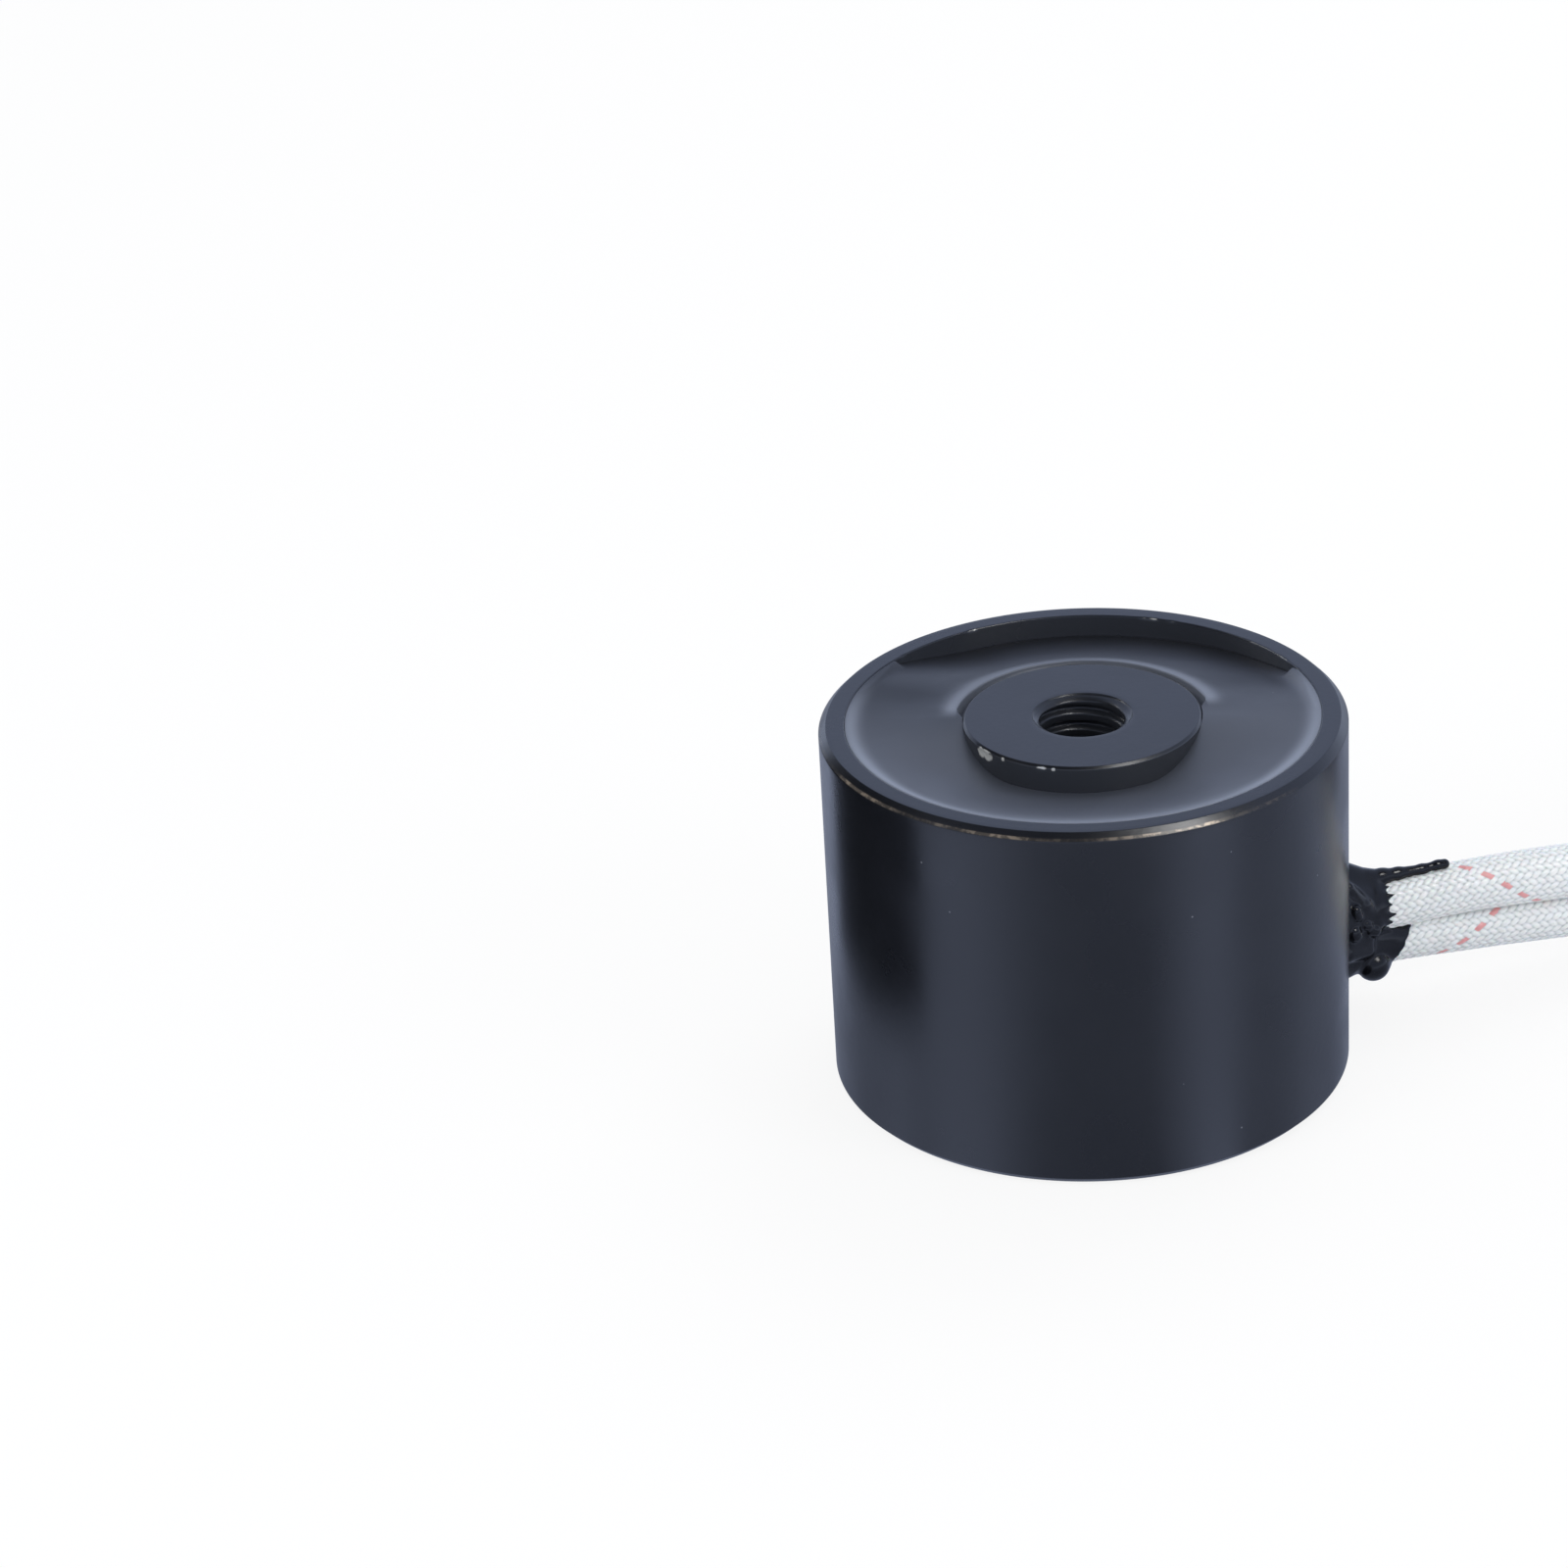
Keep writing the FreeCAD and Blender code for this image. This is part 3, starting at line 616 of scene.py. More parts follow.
def frames_along(places):
    """Two directions across the line at each point, carried along it without twist."""
    tangents = np.gradient(places, axis=0)
    tangents /= np.linalg.norm(tangents, axis=1)[:, None]
    up = np.array([0.0, 0.0, 1.0])
    ups, sides = [], []
    for tangent in tangents:
        up = up - tangent * (up @ tangent)
        up = up / np.linalg.norm(up)
        ups.append(up)
        sides.append(np.cross(tangent, up))
    return np.array(ups), np.array(sides)


def swept(places, angle, radius):
    """Points at each angle and radius round each point of a line."""
    ups, sides = frames_along(places)
    upward = np.cos(angle)[..., None] * ups[:, None, :]
    sideways = np.sin(angle)[..., None] * sides[:, None, :]
    return places[:, None, :] + radius[..., None] * (upward + sideways)


BRAID_YARNS = 24
BRAID_PITCH = 13.2
YARN_HEIGHT = 0.075
YARN_LIFT = 0.055


def braid(angle, travel):
    """Height of a two-over two-under braid, and which of its two first yarns is on top."""
    round_share = angle / (2 * math.pi) * BRAID_YARNS
    along_share = travel / (BRAID_PITCH / BRAID_YARNS)
    heights, firsts = [], []
    for direction, phase in ((-1, 0.5), (1, 2.5)):
        own = round_share + direction * along_share
        other = round_share - direction * along_share
        yarn = np.round(own)
        offset = (own - yarn) * 2
        wave = np.cos(2 * math.pi * (yarn + other - phase) / 4)
        crown = np.sqrt(np.clip(1 - (0.93 * offset) ** 2, 0.0, 1.0))
        heights.append(YARN_LIFT * wave + YARN_HEIGHT * crown)
        firsts.append(np.mod(yarn, BRAID_YARNS) == 0)
    top = np.maximum(heights[0], heights[1])
    on_top = heights[0] >= heights[1]
    right_hand = np.where(on_top & firsts[0], 1.0, 0.0)
    left_hand = np.where(~on_top & firsts[1], 1.0, 0.0)
    return top, right_hand, left_hand


def leaned(line, side, near, far):
    """The sleeve's own line: its lead's, shifted to the side, and up near the outlet and far."""
    out = smooth_step(line[:, 0], 15.0, 18.5)
    beyond = smooth_step(line[:, 0], 18.5, 24.0)
    shifted = line.copy()
    shifted[:, 1] += side * out
    shifted[:, 2] += near * out * (1 - beyond)
    shifted[:, 2] += far * beyond
    return shifted


def make_sleeve(name, line, other, hand, turn, slip):
    """A sleeve of braided glass fibre with one red yarn, pressed flat against the other."""
    start = np.array([[SLEEVE_START, line[0][1], line[0][2]]])
    inside = line[:, 0] < SLEEVE_END
    points = np.concatenate([start, line[inside]])
    places, travel = stations(points, 0.075)
    columns = 192
    angle = np.broadcast_to(full_turn(columns), (len(places), columns))
    height, right_hand, left_hand = braid(angle + math.radians(turn), travel[:, None] + slip)
    full = SLEEVE_RADIUS - YARN_HEIGHT - YARN_LIFT
    squeezed = 0.10 * (1 - smooth_step(places[:, :1], 15.5, 18.0))
    swollen = 0.07 * smooth_step(places[:, :1], 22.0, 29.0)
    radius = full - squeezed + swollen + height
    outside = swept(places, angle, radius)

    across = interpolated(places[:, 0], other[:, 0], other) - places
    apart = np.linalg.norm(across, axis=1)[:, None]
    across = across / apart
    reach = np.einsum("rcx,rx->rc", outside - places[:, None, :], across)
    over = np.clip(reach - (apart / 2 - 0.01), 0.0, None)
    outside = outside - over[..., None] * across[:, None, :]
    bare = places[::6]
    bore = swept(bare, angle[::6], np.full((len(bare), columns), SLEEVE_BORE))[::-1]
    rings = np.concatenate([outside, bore])
    nothing = np.zeros(bore.shape[:2])
    tracer = right_hand if hand > 0 else left_hand
    marks = {"tracer": np.concatenate([tracer, nothing])}
    marks["relief"] = np.concatenate([height, nothing])
    faces = [face[::-1] for face in band_faces(len(rings), columns, True)]
    return mesh_object(name, rings.reshape(-1, 3), faces, marks)


def make_strands(name, points):
    """The tinned strands of a lead's bare end: six twisted round one."""
    thin = STRAND_BUNDLE / 6
    places, travel = stations(points, 0.08)
    ups, sides = frames_along(places)
    columns = 10
    angle = full_turn(columns)
    vertices, faces = [], []
    for strand in range(7):
        reach = 0.0 if strand == 0 else 2 * thin
        turn = strand * math.pi / 3 + travel / 4.5 * 2 * math.pi
        line = places + reach * (np.cos(turn)[:, None] * ups + np.sin(turn)[:, None] * sides)
        trim = len(line) - (strand * 3) % 4
        line = line[:trim]
        rings = swept(line, angle, np.full((len(line), columns), thin))
        base = len(vertices)
        vertices.extend(rings.reshape(-1, 3).tolist())
        for face in band_faces(len(line), columns, False):
            faces.append(tuple(base + index for index in face[::-1]))
        faces.append(tuple(base + index for index in range(columns)))
        last = base + (len(line) - 1) * columns
        faces.append(tuple(last + index for index in range(columns))[::-1])
    return mesh_object(name, vertices, faces)


def lead_curve(side, start, run, layer, free_end):
    """One lead's curve, and its line in millimetres."""
    curve = nurbs_curve(side + "_lead_wire", [start] + run + coil_points(layer) + free_end)
    line = centreline(curve)
    curve.data.bevel_depth = 1.0
    return curve, line


def straight_part(line):
    """The part of a lead's line before its coil."""
    last = int(np.argmax(line[:, 0] > SLEEVE_END + 2.0))
    return line[: last + 1]


def make_lead(side, curve, line, own, other, hand, braiding):
    """One lead with its sleeve and bare end."""
    sleeve = make_sleeve(side + "_braided_sleeve", own, other, hand, *braiding)
    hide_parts(side + "_sleeve")
    direction = line[-1] - line[-8]
    direction = direction / np.linalg.norm(direction)
    bare = np.array([line[-1] - direction * 1.0, line[-1] + direction * TINNED_LENGTH])
    strands = make_strands(side + "_bare_strands", bare)
    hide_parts(side + "_tinned_end")
    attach(curve, "root")
    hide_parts(side + "_lead", side + "_lead_coil")
    return curve, sleeve, strands


# Sealant: a field of blended lumps, negative inside, and the mesh of its zero level


def surface_net(field, corner, step):
    """The closed surface where a sampled field crosses zero, as places and quads."""
    cells = tuple(size - 1 for size in field.shape)
    total = np.zeros(cells + (3,))
    count = np.zeros(cells)
    inside = field < 0
    crossings = []
    for axis in range(3):
        low, high = [slice(None)] * 3, [slice(None)] * 3
        low[axis], high[axis] = slice(0, -1), slice(1, None)
        first, second = field[tuple(low)], field[tuple(high)]
        crossing = inside[tuple(low)] != inside[tuple(high)]
        share = np.where(crossing, first / np.where(crossing, first - second, 1.0), 0.0)
        crossings.append(crossing)
        one, two = (other for other in range(3) if other != axis)
        for near, far in ((0, 0), (0, 1), (1, 0), (1, 1)):
            window = [slice(None)] * 3
            window[one] = slice(near, near + cells[one])
            window[two] = slice(far, far + cells[two])
            here = crossing[tuple(window)]
            total[..., axis] += share[tuple(window)]
            total[..., one] += near * here
            total[..., two] += far * here
            count += here
    used = count > 0
    number = np.full(cells, -1)
    number[used] = np.arange(used.sum())
    where = np.argwhere(used)
    places = corner + step * (where + total[used] / count[used][:, None])
    faces = []
    for axis in range(3):
        one, two = (axis + 1) % 3, (axis + 2) % 3
        for at in np.argwhere(crossings[axis]):
            if at[one] == 0 or at[two] == 0:
                continue
            if at[one] >= cells[one] or at[two] >= cells[two]:
                continue
            quad = []
            for back_one, back_two in ((0, 0), (1, 0), (1, 1), (0, 1)):
                cell = at.copy()
                cell[one] -= back_one
                cell[two] -= back_two
                quad.append(int(number[tuple(cell)]))
            faces.append(tuple(quad if inside[tuple(at)] else quad[::-1]))
    return places, faces


def blend_in(first, second, soft):
    """The union of two fields with a fillet of about this size."""
    share = np.clip(0.5 + 0.5 * (second - first) / soft, 0.0, 1.0)
    return second + (first - second) * share - soft * share * (1 - share)


def rod_field(grid, start, end, thick_start, thick_end):
    """Distance from a rod that tapers between two points."""
    start, end = np.array(start), np.array(end)
    along = end - start
    share = np.clip(((grid - start) @ along) / (along @ along), 0.0, 1.0)
    nearest = start + share[..., None] * along
    thickness = thick_start + (thick_end - thick_start) * share
    return np.linalg.norm(grid - nearest, axis=-1) - thickness


# The box that the sealant's field is sampled in, and its step
SEALANT_LOW = np.array([12.8, -4.2, 0.9])
SEALANT_HIGH = np.array([23.2, 4.2, 11.0])
SEALANT_STEP = 0.075
SEALANT_RODS = [
    # start, end, radius at start, radius at end, blend
    ((13.8, -0.3, 6.9), (17.0, -0.4, 6.5), 3.0, 1.85, 0.4),
    ((13.8, 0.3, 4.2), (17.4, 0.35, 3.75), 2.5, 1.66, 0.5),
    ((14.4, -0.3, 9.42), (17.2, -0.4, 8.25), 0.84, 0.56, 0.6),
    ((15.4, -1.9, 8.7), (16.4, -2.0, 7.4), 0.40, 0.34, 0.30),
    ((16.4, -2.0, 7.4), (17.3, -1.85, 6.0), 0.34, 0.36, 0.25),
    ((15.6, -2.60, 7.5), (15.75, -2.55, 7.1), 0.36, 0.34, 0.14),
    ((15.5, -2.58, 6.1), (15.6, -2.58, 5.9), 0.42, 0.42, 0.16),
    ((16.35, -2.36, 6.3), (16.5, -2.36, 6.2), 0.30, 0.30, 0.10),
    ((16.8, -2.12, 5.8), (17.0, -2.08, 5.7), 0.40, 0.42, 0.14),
    ((15.2, -1.9, 5.5), (16.7, -1.6, 5.1), 0.70, 0.55, 0.35),
    ((15.2, -2.0, 4.6), (16.6, -1.6, 4.3), 0.75, 0.60, 0.35),
    ((14.6, -0.8, 3.8), (16.2, -0.9, 3.5), 1.20, 0.78, 0.40),
    ((16.9, -0.9, 3.3), (17.30, -1.15, 2.90), 0.90, 1.02, 0.18),
    ((17.35, -1.0, 2.95), (17.95, -0.95, 2.90), 0.80, 0.60, 0.25),
]
TONGUE = [
    # a point of the tongue's middle, and its radius there
    (17.2, -0.4, 8.25, 0.56),
    (18.2, -0.4, 8.19, 0.47),
    (19.2, -0.4, 8.18, 0.37),
    (20.7, -0.4, 8.17, 0.29),
    (21.7, -0.4, 8.25, 0.27),
    (22.15, -0.4, 8.24, 0.31),
]
FILMS = [
    # the sleeve's axis in Y and Z, reach, slope, depth of the teeth, blend
    ((-0.45, 6.43), 17.72, 0.05, 0.66, 0.10),
    ((0.20, 3.80), 19.14, 0.55, 0.07, 0.15),
]
TEETH = 17


def film_field(grid, axis, reach, slope, depth):
    """A thin coat of resin soaked into a sleeve, ending in teeth where it crept along yarns."""
    side = grid[..., 1] - axis[0]
    up = grid[..., 2] - axis[1]
    from_axis = np.hypot(side, up)
    angle = np.arctan2(side, up) / (2 * math.pi)
    saw = np.abs(((angle * TEETH + 0.18) % 1.0) - 0.5) * 2
    uneven = np.sin(angle * 2 * math.pi * 7 + 1.3) * 0.22 + np.sin(angle * 2 * math.pi * 11) * 0.14
    end = reach + slope * up + depth * (saw**1.3 + uneven)
    thickness = 0.11 + 0.45 * np.clip((end - 0.5 - grid[..., 0]) / 2.2, 0.0, 1.0) ** 1.6
    around = from_axis - (SLEEVE_RADIUS + thickness)
    return np.maximum(around, grid[..., 0] - end)


def make_sealant():
    """The dripped sealant round the sleeves, with its tongue, teeth, beads and hanging drop."""
    counts = np.ceil((SEALANT_HIGH - SEALANT_LOW) / SEALANT_STEP).astype(int)
    axes = [SEALANT_LOW[k] + SEALANT_STEP * np.arange(counts[k]) for k in range(3)]
    grid = np.stack(np.meshgrid(*axes, indexing="ij"), axis=-1)
    field = np.full(grid.shape[:-1], 10.0)
    for start, end, thick_start, thick_end, soft in SEALANT_RODS:
        field = blend_in(field, rod_field(grid, start, end, thick_start, thick_end), soft)
    for here, there in zip(TONGUE, TONGUE[1:]):
        rod = rod_field(grid, here[:3], there[:3], here[3], there[3])
        field = blend_in(field, rod, 0.25)
    for axis, reach, slope, depth, soft in FILMS:
        field = blend_in(field, film_field(grid, axis, reach, slope, depth), soft)
    from_axis = np.hypot(grid[..., 0], grid[..., 1])
    outside = np.maximum(field, OUTER - 0.03 - from_axis)
    in_hole = np.hypot(grid[..., 1], grid[..., 2] - OUTLET_HEIGHT) - (OUTLET_HOLE - 0.01)
    plug = np.maximum(in_hole, CAVITY + 0.02 - from_axis)
    plug = np.maximum(plug, from_axis - OUTER - 0.2)
    field = np.minimum(outside, plug)
    places, faces = surface_net(field, SEALANT_LOW, SEALANT_STEP)
    sealant = mesh_object("sealant_lump", places, faces)
    ease = sealant.modifiers.new("ease", "SMOOTH")
    ease.factor = 0.5
    ease.iterations = 5
    apply_modifiers(sealant)
    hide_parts("outlet_sealant")
    return sealant


# Materials

# Numbers of the colour sockets on a node that mixes two colours
FIRST_COLOUR, SECOND_COLOUR, MIXED_COLOUR = 6, 7, 2


class NodeTree:
    """The nodes of a material or of the world, with short ways to add to them."""

    def __init__(self, owner):
        owner.use_nodes = True
        self.nodes = owner.node_tree.nodes
        self.links = owner.node_tree.links

    def fill(self, socket, value):
        """Link the socket to another node's output, or give it a value."""
        if isinstance(value, bpy.types.NodeSocket):
            self.links.new(value, socket)
        elif socket.type == "RGBA":
            socket.default_value = (*value, 1.0)
        else:
            socket.default_value = value

    def add(self, kind, output, values, **settings):
        """One output of a new node, whose inputs are filled by name or number."""
        node = self.nodes.new("ShaderNode" + kind)
        for name, setting in settings.items():
            setattr(node, name, setting)
        for name, value in values.items():
            self.fill(node.inputs[name], value)
        return node.outputs[output]

    def ramp(self, value, low, high, start=0.0, end=1.0):
        """The value moved smoothly from one range to another, and held inside it."""
        limits = {"From Min": low, "From Max": high, "To Min": start, "To Max": end}
        limits["Value"] = value
        return self.add("MapRange", "Result", limits, interpolation_type="SMOOTHSTEP")

    def maths(self, operation, first, second):
        return self.add("Math", "Value", {0: first, 1: second}, operation=operation)

    def mixed(self, factor, first, second):
        """One of two colours, or the second over a mix made before."""
        values = {"Factor": factor, FIRST_COLOUR: first, SECOND_COLOUR: second}
        return self.add("Mix", MIXED_COLOUR, values, data_type="RGBA")

    def ray(self, kind):
        """One for rays of this kind, and nothing for the others."""
        return self.add("LightPath", kind, {})

    def show_blend(self, share, first, second, output):
        """Send a blend of two shaders to the tree's output."""
        blend = self.add("MixShader", "Shader", {0: share, 1: first, 2: second})
        self.fill(self.nodes[output].inputs["Surface"], blend)


class Finish(NodeTree):
    """A material built round one principled shader."""

    def __init__(self, name):
        self.material = bpy.data.materials.new(name)
        super().__init__(self.material)
        self.shader = self.nodes["Principled BSDF"]
        self.place = self.add("TexCoord", "Object", {})

    def set(self, **values):
        """Fill the shader's sockets by name."""
        for name, value in values.items():
            self.fill(self.shader.inputs[name.replace("_", " ")], value)

    def noise(self, scale, detail):
        """Noise with this many features to the metre."""
        return self.add("TexNoise", "Fac", {"Scale": scale, "Detail": detail, "Vector": self.place})

    def specks(self, apart, size):
        """Round specks of this radius scattered about this far apart, in metres."""
        cells = {"Scale": 1.0 / apart, "Vector": self.place}
        share = size / apart
        distance = self.add("TexVoronoi", "Distance", cells)
        return self.ramp(distance, share * 0.6, share * 1.2, 1.0, 0.0)

    def attribute(self, name):
        return self.add("Attribute", "Fac", {}, attribute_name=name)

    def bump(self, height, distance, strength):
        """Relief of this many metres."""
        return self.add(
            "Bump", "Normal", {"Distance": distance, "Strength": strength, "Height": height}
        )


COAT = (0.0045, 0.0051, 0.0072)
# Paler coat colour: painted light in the recesses of the pot and core
RECESS_FILL_COLOUR = (0.026, 0.029, 0.037)
# Lighter resin colour for the painted reflection
RESIN_REFLECTION_COLOUR = (0.175, 0.196, 0.247)
BARE_STEEL = (0.62, 0.62, 0.60)
BRONZE = (0.34, 0.28, 0.22)

# The line of wear and painted highlight, in metres: how far its middle is under the pole face,
# where each of its edges starts and ends, and between which values of X it fades out.
WEAR_HIGHLIGHT_LEVEL = 0.00033
WEAR_HIGHLIGHT_EDGE = (0.00003, 0.00009)
WEAR_HIGHLIGHT_FADE = (0.0062, 0.0085)


def wear_and_highlight_line(finish):
    """A thin broken bronze line at the foot of the mouth's chamfer: partly rubbed coat, partly
    painted highlight.
    """
    x, y, z = (finish.add("SeparateXYZ", axis, {"Vector": finish.place}) for axis in "XYZ")
    squares = finish.maths("MULTIPLY", x, x), finish.maths("MULTIPLY", y, y)
    outside = ((OUTER - 1.0) * MM) ** 2
    outward = finish.maths("GREATER_THAN", finish.maths("ADD", *squares), outside)
    foot = TOP * MM - WEAR_HIGHLIGHT_LEVEL
    above = finish.ramp(z, foot - WEAR_HIGHLIGHT_EDGE[1], foot - WEAR_HIGHLIGHT_EDGE[0])
    below = finish.ramp(z, foot + WEAR_HIGHLIGHT_EDGE[0], foot + WEAR_HIGHLIGHT_EDGE[1], 1.0, 0.0)
    patches = finish.ramp(finish.noise(150.0, 3.0), 0.40, 0.62, 0.12, 1.0)
    specks = finish.ramp(finish.noise(2600.0, 2.0), 0.42, 0.60, 0.25, 1.0)
    fading = finish.ramp(x, *WEAR_HIGHLIGHT_FADE, 1.0, 0.0)
    line = finish.maths("MULTIPLY", above, below)
    for factor in (outward, fading, patches, specks):
        line = finish.maths("MULTIPLY", line, factor)
    return line


def coated_steel(name, colour, roughness):
    """Black electrocoat: fine orange peel, faint clouding, dust, bare metal at chips, painted light
    in recesses.
    """
    finish = Finish(name)
    peel = finish.noise(2600.0, 2.0)
    cloud = finish.noise(160.0, 4.0)
    dust = finish.specks(0.0026, 0.00006)
    chipped = finish.ramp(finish.attribute("chipped"), 0.25, 0.5)
    wear_and_highlight = wear_and_highlight_line(finish)
    pale = tuple(min(1.0, channel * 1.7) for channel in colour)
    base = finish.mixed(cloud, colour, pale)
    # Painted light in the recesses of the pot and core
    base = finish.mixed(finish.attribute("painted_recess_fill"), base, RECESS_FILL_COLOUR)
    base = finish.mixed(finish.maths("MULTIPLY", dust, 0.6), base, (0.20, 0.21, 0.24))
    # Bronze line at the chamfer's foot: partly wear, partly a painted highlight
    base = finish.mixed(finish.maths("MULTIPLY", wear_and_highlight, 0.8), base, BRONZE)
    base = finish.mixed(chipped, base, BARE_STEEL)
    metal = finish.maths("MULTIPLY", finish.maths("MAXIMUM", chipped, wear_and_highlight), 0.5)
    uneven = finish.ramp(cloud, 0.3, 0.7, roughness - 0.04, roughness + 0.05)
    relief = finish.bump(peel, 0.000006, 0.6)
    finish.set(IOR=1.5, Base_Color=base, Metallic=metal, Roughness=uneven, Normal=relief)
    return finish.material


def cast_resin(name):
    """Self-levelled black resin, glossier than the coat, uneven in tone, with a painted reflection.
    """
    finish = Finish(name)
    haze = finish.noise(220.0, 4.0)
    dust = finish.specks(0.0034, 0.00005)
    base = finish.mixed(haze, (0.0080, 0.0092, 0.0125), (0.0110, 0.0125, 0.0170))
    # Painted reflection: a lighter colour along the rim, over the near side and on the lip
    base = finish.mixed(finish.attribute("painted_reflection"), base, RESIN_REFLECTION_COLOUR)
    base = finish.mixed(finish.maths("MULTIPLY", dust, 0.5), base, (0.16, 0.17, 0.20))
    relief = finish.bump(finish.noise(700.0, 2.0), 0.000008, 0.5)
    uneven = finish.ramp(haze, 0.3, 0.7, 0.46, 0.52)
    finish.set(IOR=1.55, Base_Color=base, Roughness=uneven, Normal=relief)
    return finish.material


def glossy_sealant(name):
    """Wet-looking black sealant."""
    finish = Finish(name)
    swirl = finish.noise(500.0, 3.0)
    base = finish.mixed(swirl, (0.0035, 0.0037, 0.0050), (0.0065, 0.0068, 0.0090))
    relief = finish.bump(finish.noise(1800.0, 2.0), 0.000012, 0.5)
    uneven = finish.ramp(swirl, 0.3, 0.7, 0.14, 0.24)
    finish.set(IOR=1.5, Specular_IOR_Level=0.30)
    finish.set(Base_Color=base, Roughness=uneven, Normal=relief)
    return finish.material


def glass_braid(name):
    """Varnished glass yarn: fibres along the bumps, greyer in the gaps as painted shade, one yarn
    dyed red.
    """
    finish = Finish(name)
    relief = finish.attribute("relief")
    dyed = finish.ramp(finish.attribute("tracer"), 0.35, 0.65)
    tone = finish.noise(900.0, 3.0)
    white = finish.mixed(tone, (0.78, 0.80, 0.80), (0.92, 0.93, 0.92))
    # Painted shade: a greyer colour in the gaps between the yarns' crowns
    gap_shade = finish.ramp(relief, 0.03, 0.115)
    yarn = finish.mixed(gap_shade, (0.42, 0.45, 0.46), white)
    red = finish.mixed(tone, (0.70, 0.26, 0.26), (0.80, 0.40, 0.39))
    base = finish.mixed(dyed, yarn, red)
    fibres = finish.bump(finish.noise(9000.0, 2.0), 0.000015, 0.5)
    uneven = finish.ramp(tone, 0.3, 0.7, 0.24, 0.36)
    finish.set(IOR=1.55, Subsurface_Weight=0.15, Subsurface_Scale=0.0006, Sheen_Weight=0.1)
    finish.set(Base_Color=base, Roughness=uneven, Normal=fibres)
    return finish.material


def plain_finish(name, dark, light, scale, rough, depth, metallic=0.0):
    """Two close tones over fine relief, for moulded, wound, drawn and soldered pieces."""
    finish = Finish(name)
    tone = finish.noise(scale, 4.0)
    finish.set(
        Metallic=metallic,
        Base_Color=finish.mixed(tone, dark, light),
        Roughness=finish.ramp(tone, 0.25, 0.75, rough, rough + 0.12),
        Normal=finish.bump(finish.noise(scale * 6, 3.0), depth, 0.6),
    )
    return finish.material


# Scale of the wave at which its bands are as far apart as the wire's turns, 0.25 mm
WIRE_BANDS = 1256.6


def wound_copper(name):
    """Enamelled wire laid turn by turn, level with the flanges, with painted shade between the
    turns.
    """
    finish = Finish(name)
    bands = {"Scale": WIRE_BANDS, "Distortion": 0.4, "Vector": finish.place}
    wave = finish.add("TexWave", "Fac", bands, bands_direction="Z")
    tone = finish.noise(1200.0, 2.0)
    crown = finish.mixed(tone, (0.62, 0.24, 0.09), (0.78, 0.34, 0.14))
    # Painted shade: a darker colour in the grooves between the turns
    base = finish.mixed(wave, (0.28, 0.08, 0.03), crown)
    uneven = finish.ramp(tone, 0.2, 0.8, 0.22, 0.36)
    finish.set(Metallic=0.85, Coat_Weight=0.5, Coat_Roughness=0.15)
    finish.set(Base_Color=base, Roughness=uneven, Normal=finish.bump(wave, 0.00006, 0.8))
    return finish.material


def tinned_copper(name):
    return plain_finish(name, (0.50, 0.48, 0.45), (0.76, 0.74, 0.70), 1600.0, 0.24, 0.00001, 0.95)


def paint(piece, material):
    """Give the piece one material all over."""
    piece.data.materials.clear()
    piece.data.materials.append(material)


def paint_node(node, material):
    """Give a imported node's own slots the material, and leave its mesh as it is."""
    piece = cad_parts[node]
    for place in piece.material_slots:
        place.link = "OBJECT"
        place.material = material


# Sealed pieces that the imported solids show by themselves: the nodes, and for their finish its
# name, two tones, features to the metre, roughness, relief in metres and how metallic it is.
INNER_FINISHES = [
    (("bobbin",),
     "natural_nylon", (0.70, 0.67, 0.58), (0.80, 0.78, 0.70), 350.0, 0.45, 0.00001, 0.0),
    (("coil_tape",),
     "polyester_tape", (0.74, 0.50, 0.07), (0.86, 0.64, 0.14), 240.0, 0.25, 0.000008, 0.0),
    (("coil_start_wire", "coil_finish_wire"),
     "enamelled_wire", (0.50, 0.17, 0.06), (0.72, 0.30, 0.12), 1500.0, 0.25, 0.000006, 0.85),
    (("upper_solder_joint", "lower_solder_joint"),
     "soft_solder", (0.46, 0.47, 0.48), (0.66, 0.67, 0.68), 1100.0, 0.28, 0.00002, 0.95),
]


def paint_inner_nodes(strands):
    """Finish the sealed pieces, with the leads' stripped ends in the material of the strands."""
    for nodes, *look in INNER_FINISHES:
        material = plain_finish(*look)
        for node in nodes:
            paint_node(node, material)
    paint_node("coil_winding", wound_copper("wound_copper"))
    for side in ("upper", "lower"):
        paint_node(side + "_stripped_end", strands)


# Surroundings

WHITE = (1.0, 1.0, 1.0)
BLACK = (0.0, 0.0, 0.0)
FLOOR_COLOUR = (0.86, 0.86, 0.87)
FLOOR_WHITENESS = 0.86
FLOOR_MIRRORED = (0.36, 0.42, 0.60)
SKY_COLOUR = (0.93, 0.96, 1.0)
SKY_LEVEL = 0.75
SKY_MIRRORED = (0.55, 0.65, 0.94)
HORIZON_MIRRORED = (1.20, 1.38, 1.80)

# How high a mirrored direction points, as a sine, where the horizon starts to fade into the sky
# and where only sky is left
HORIZON_RISE = (0.02, 0.34)

# The middle of the pot's height, in metres
MIDDLE = 0.011


def rectangle(name, wide, high):
    """A flat object round its own middle, with half of each size given in metres."""
    corners = [(-wide, -high, 0), (wide, -high, 0), (wide, high, 0), (-wide, high, 0)]
    return plain_mesh(name, corners, [(0, 1, 2, 3)])


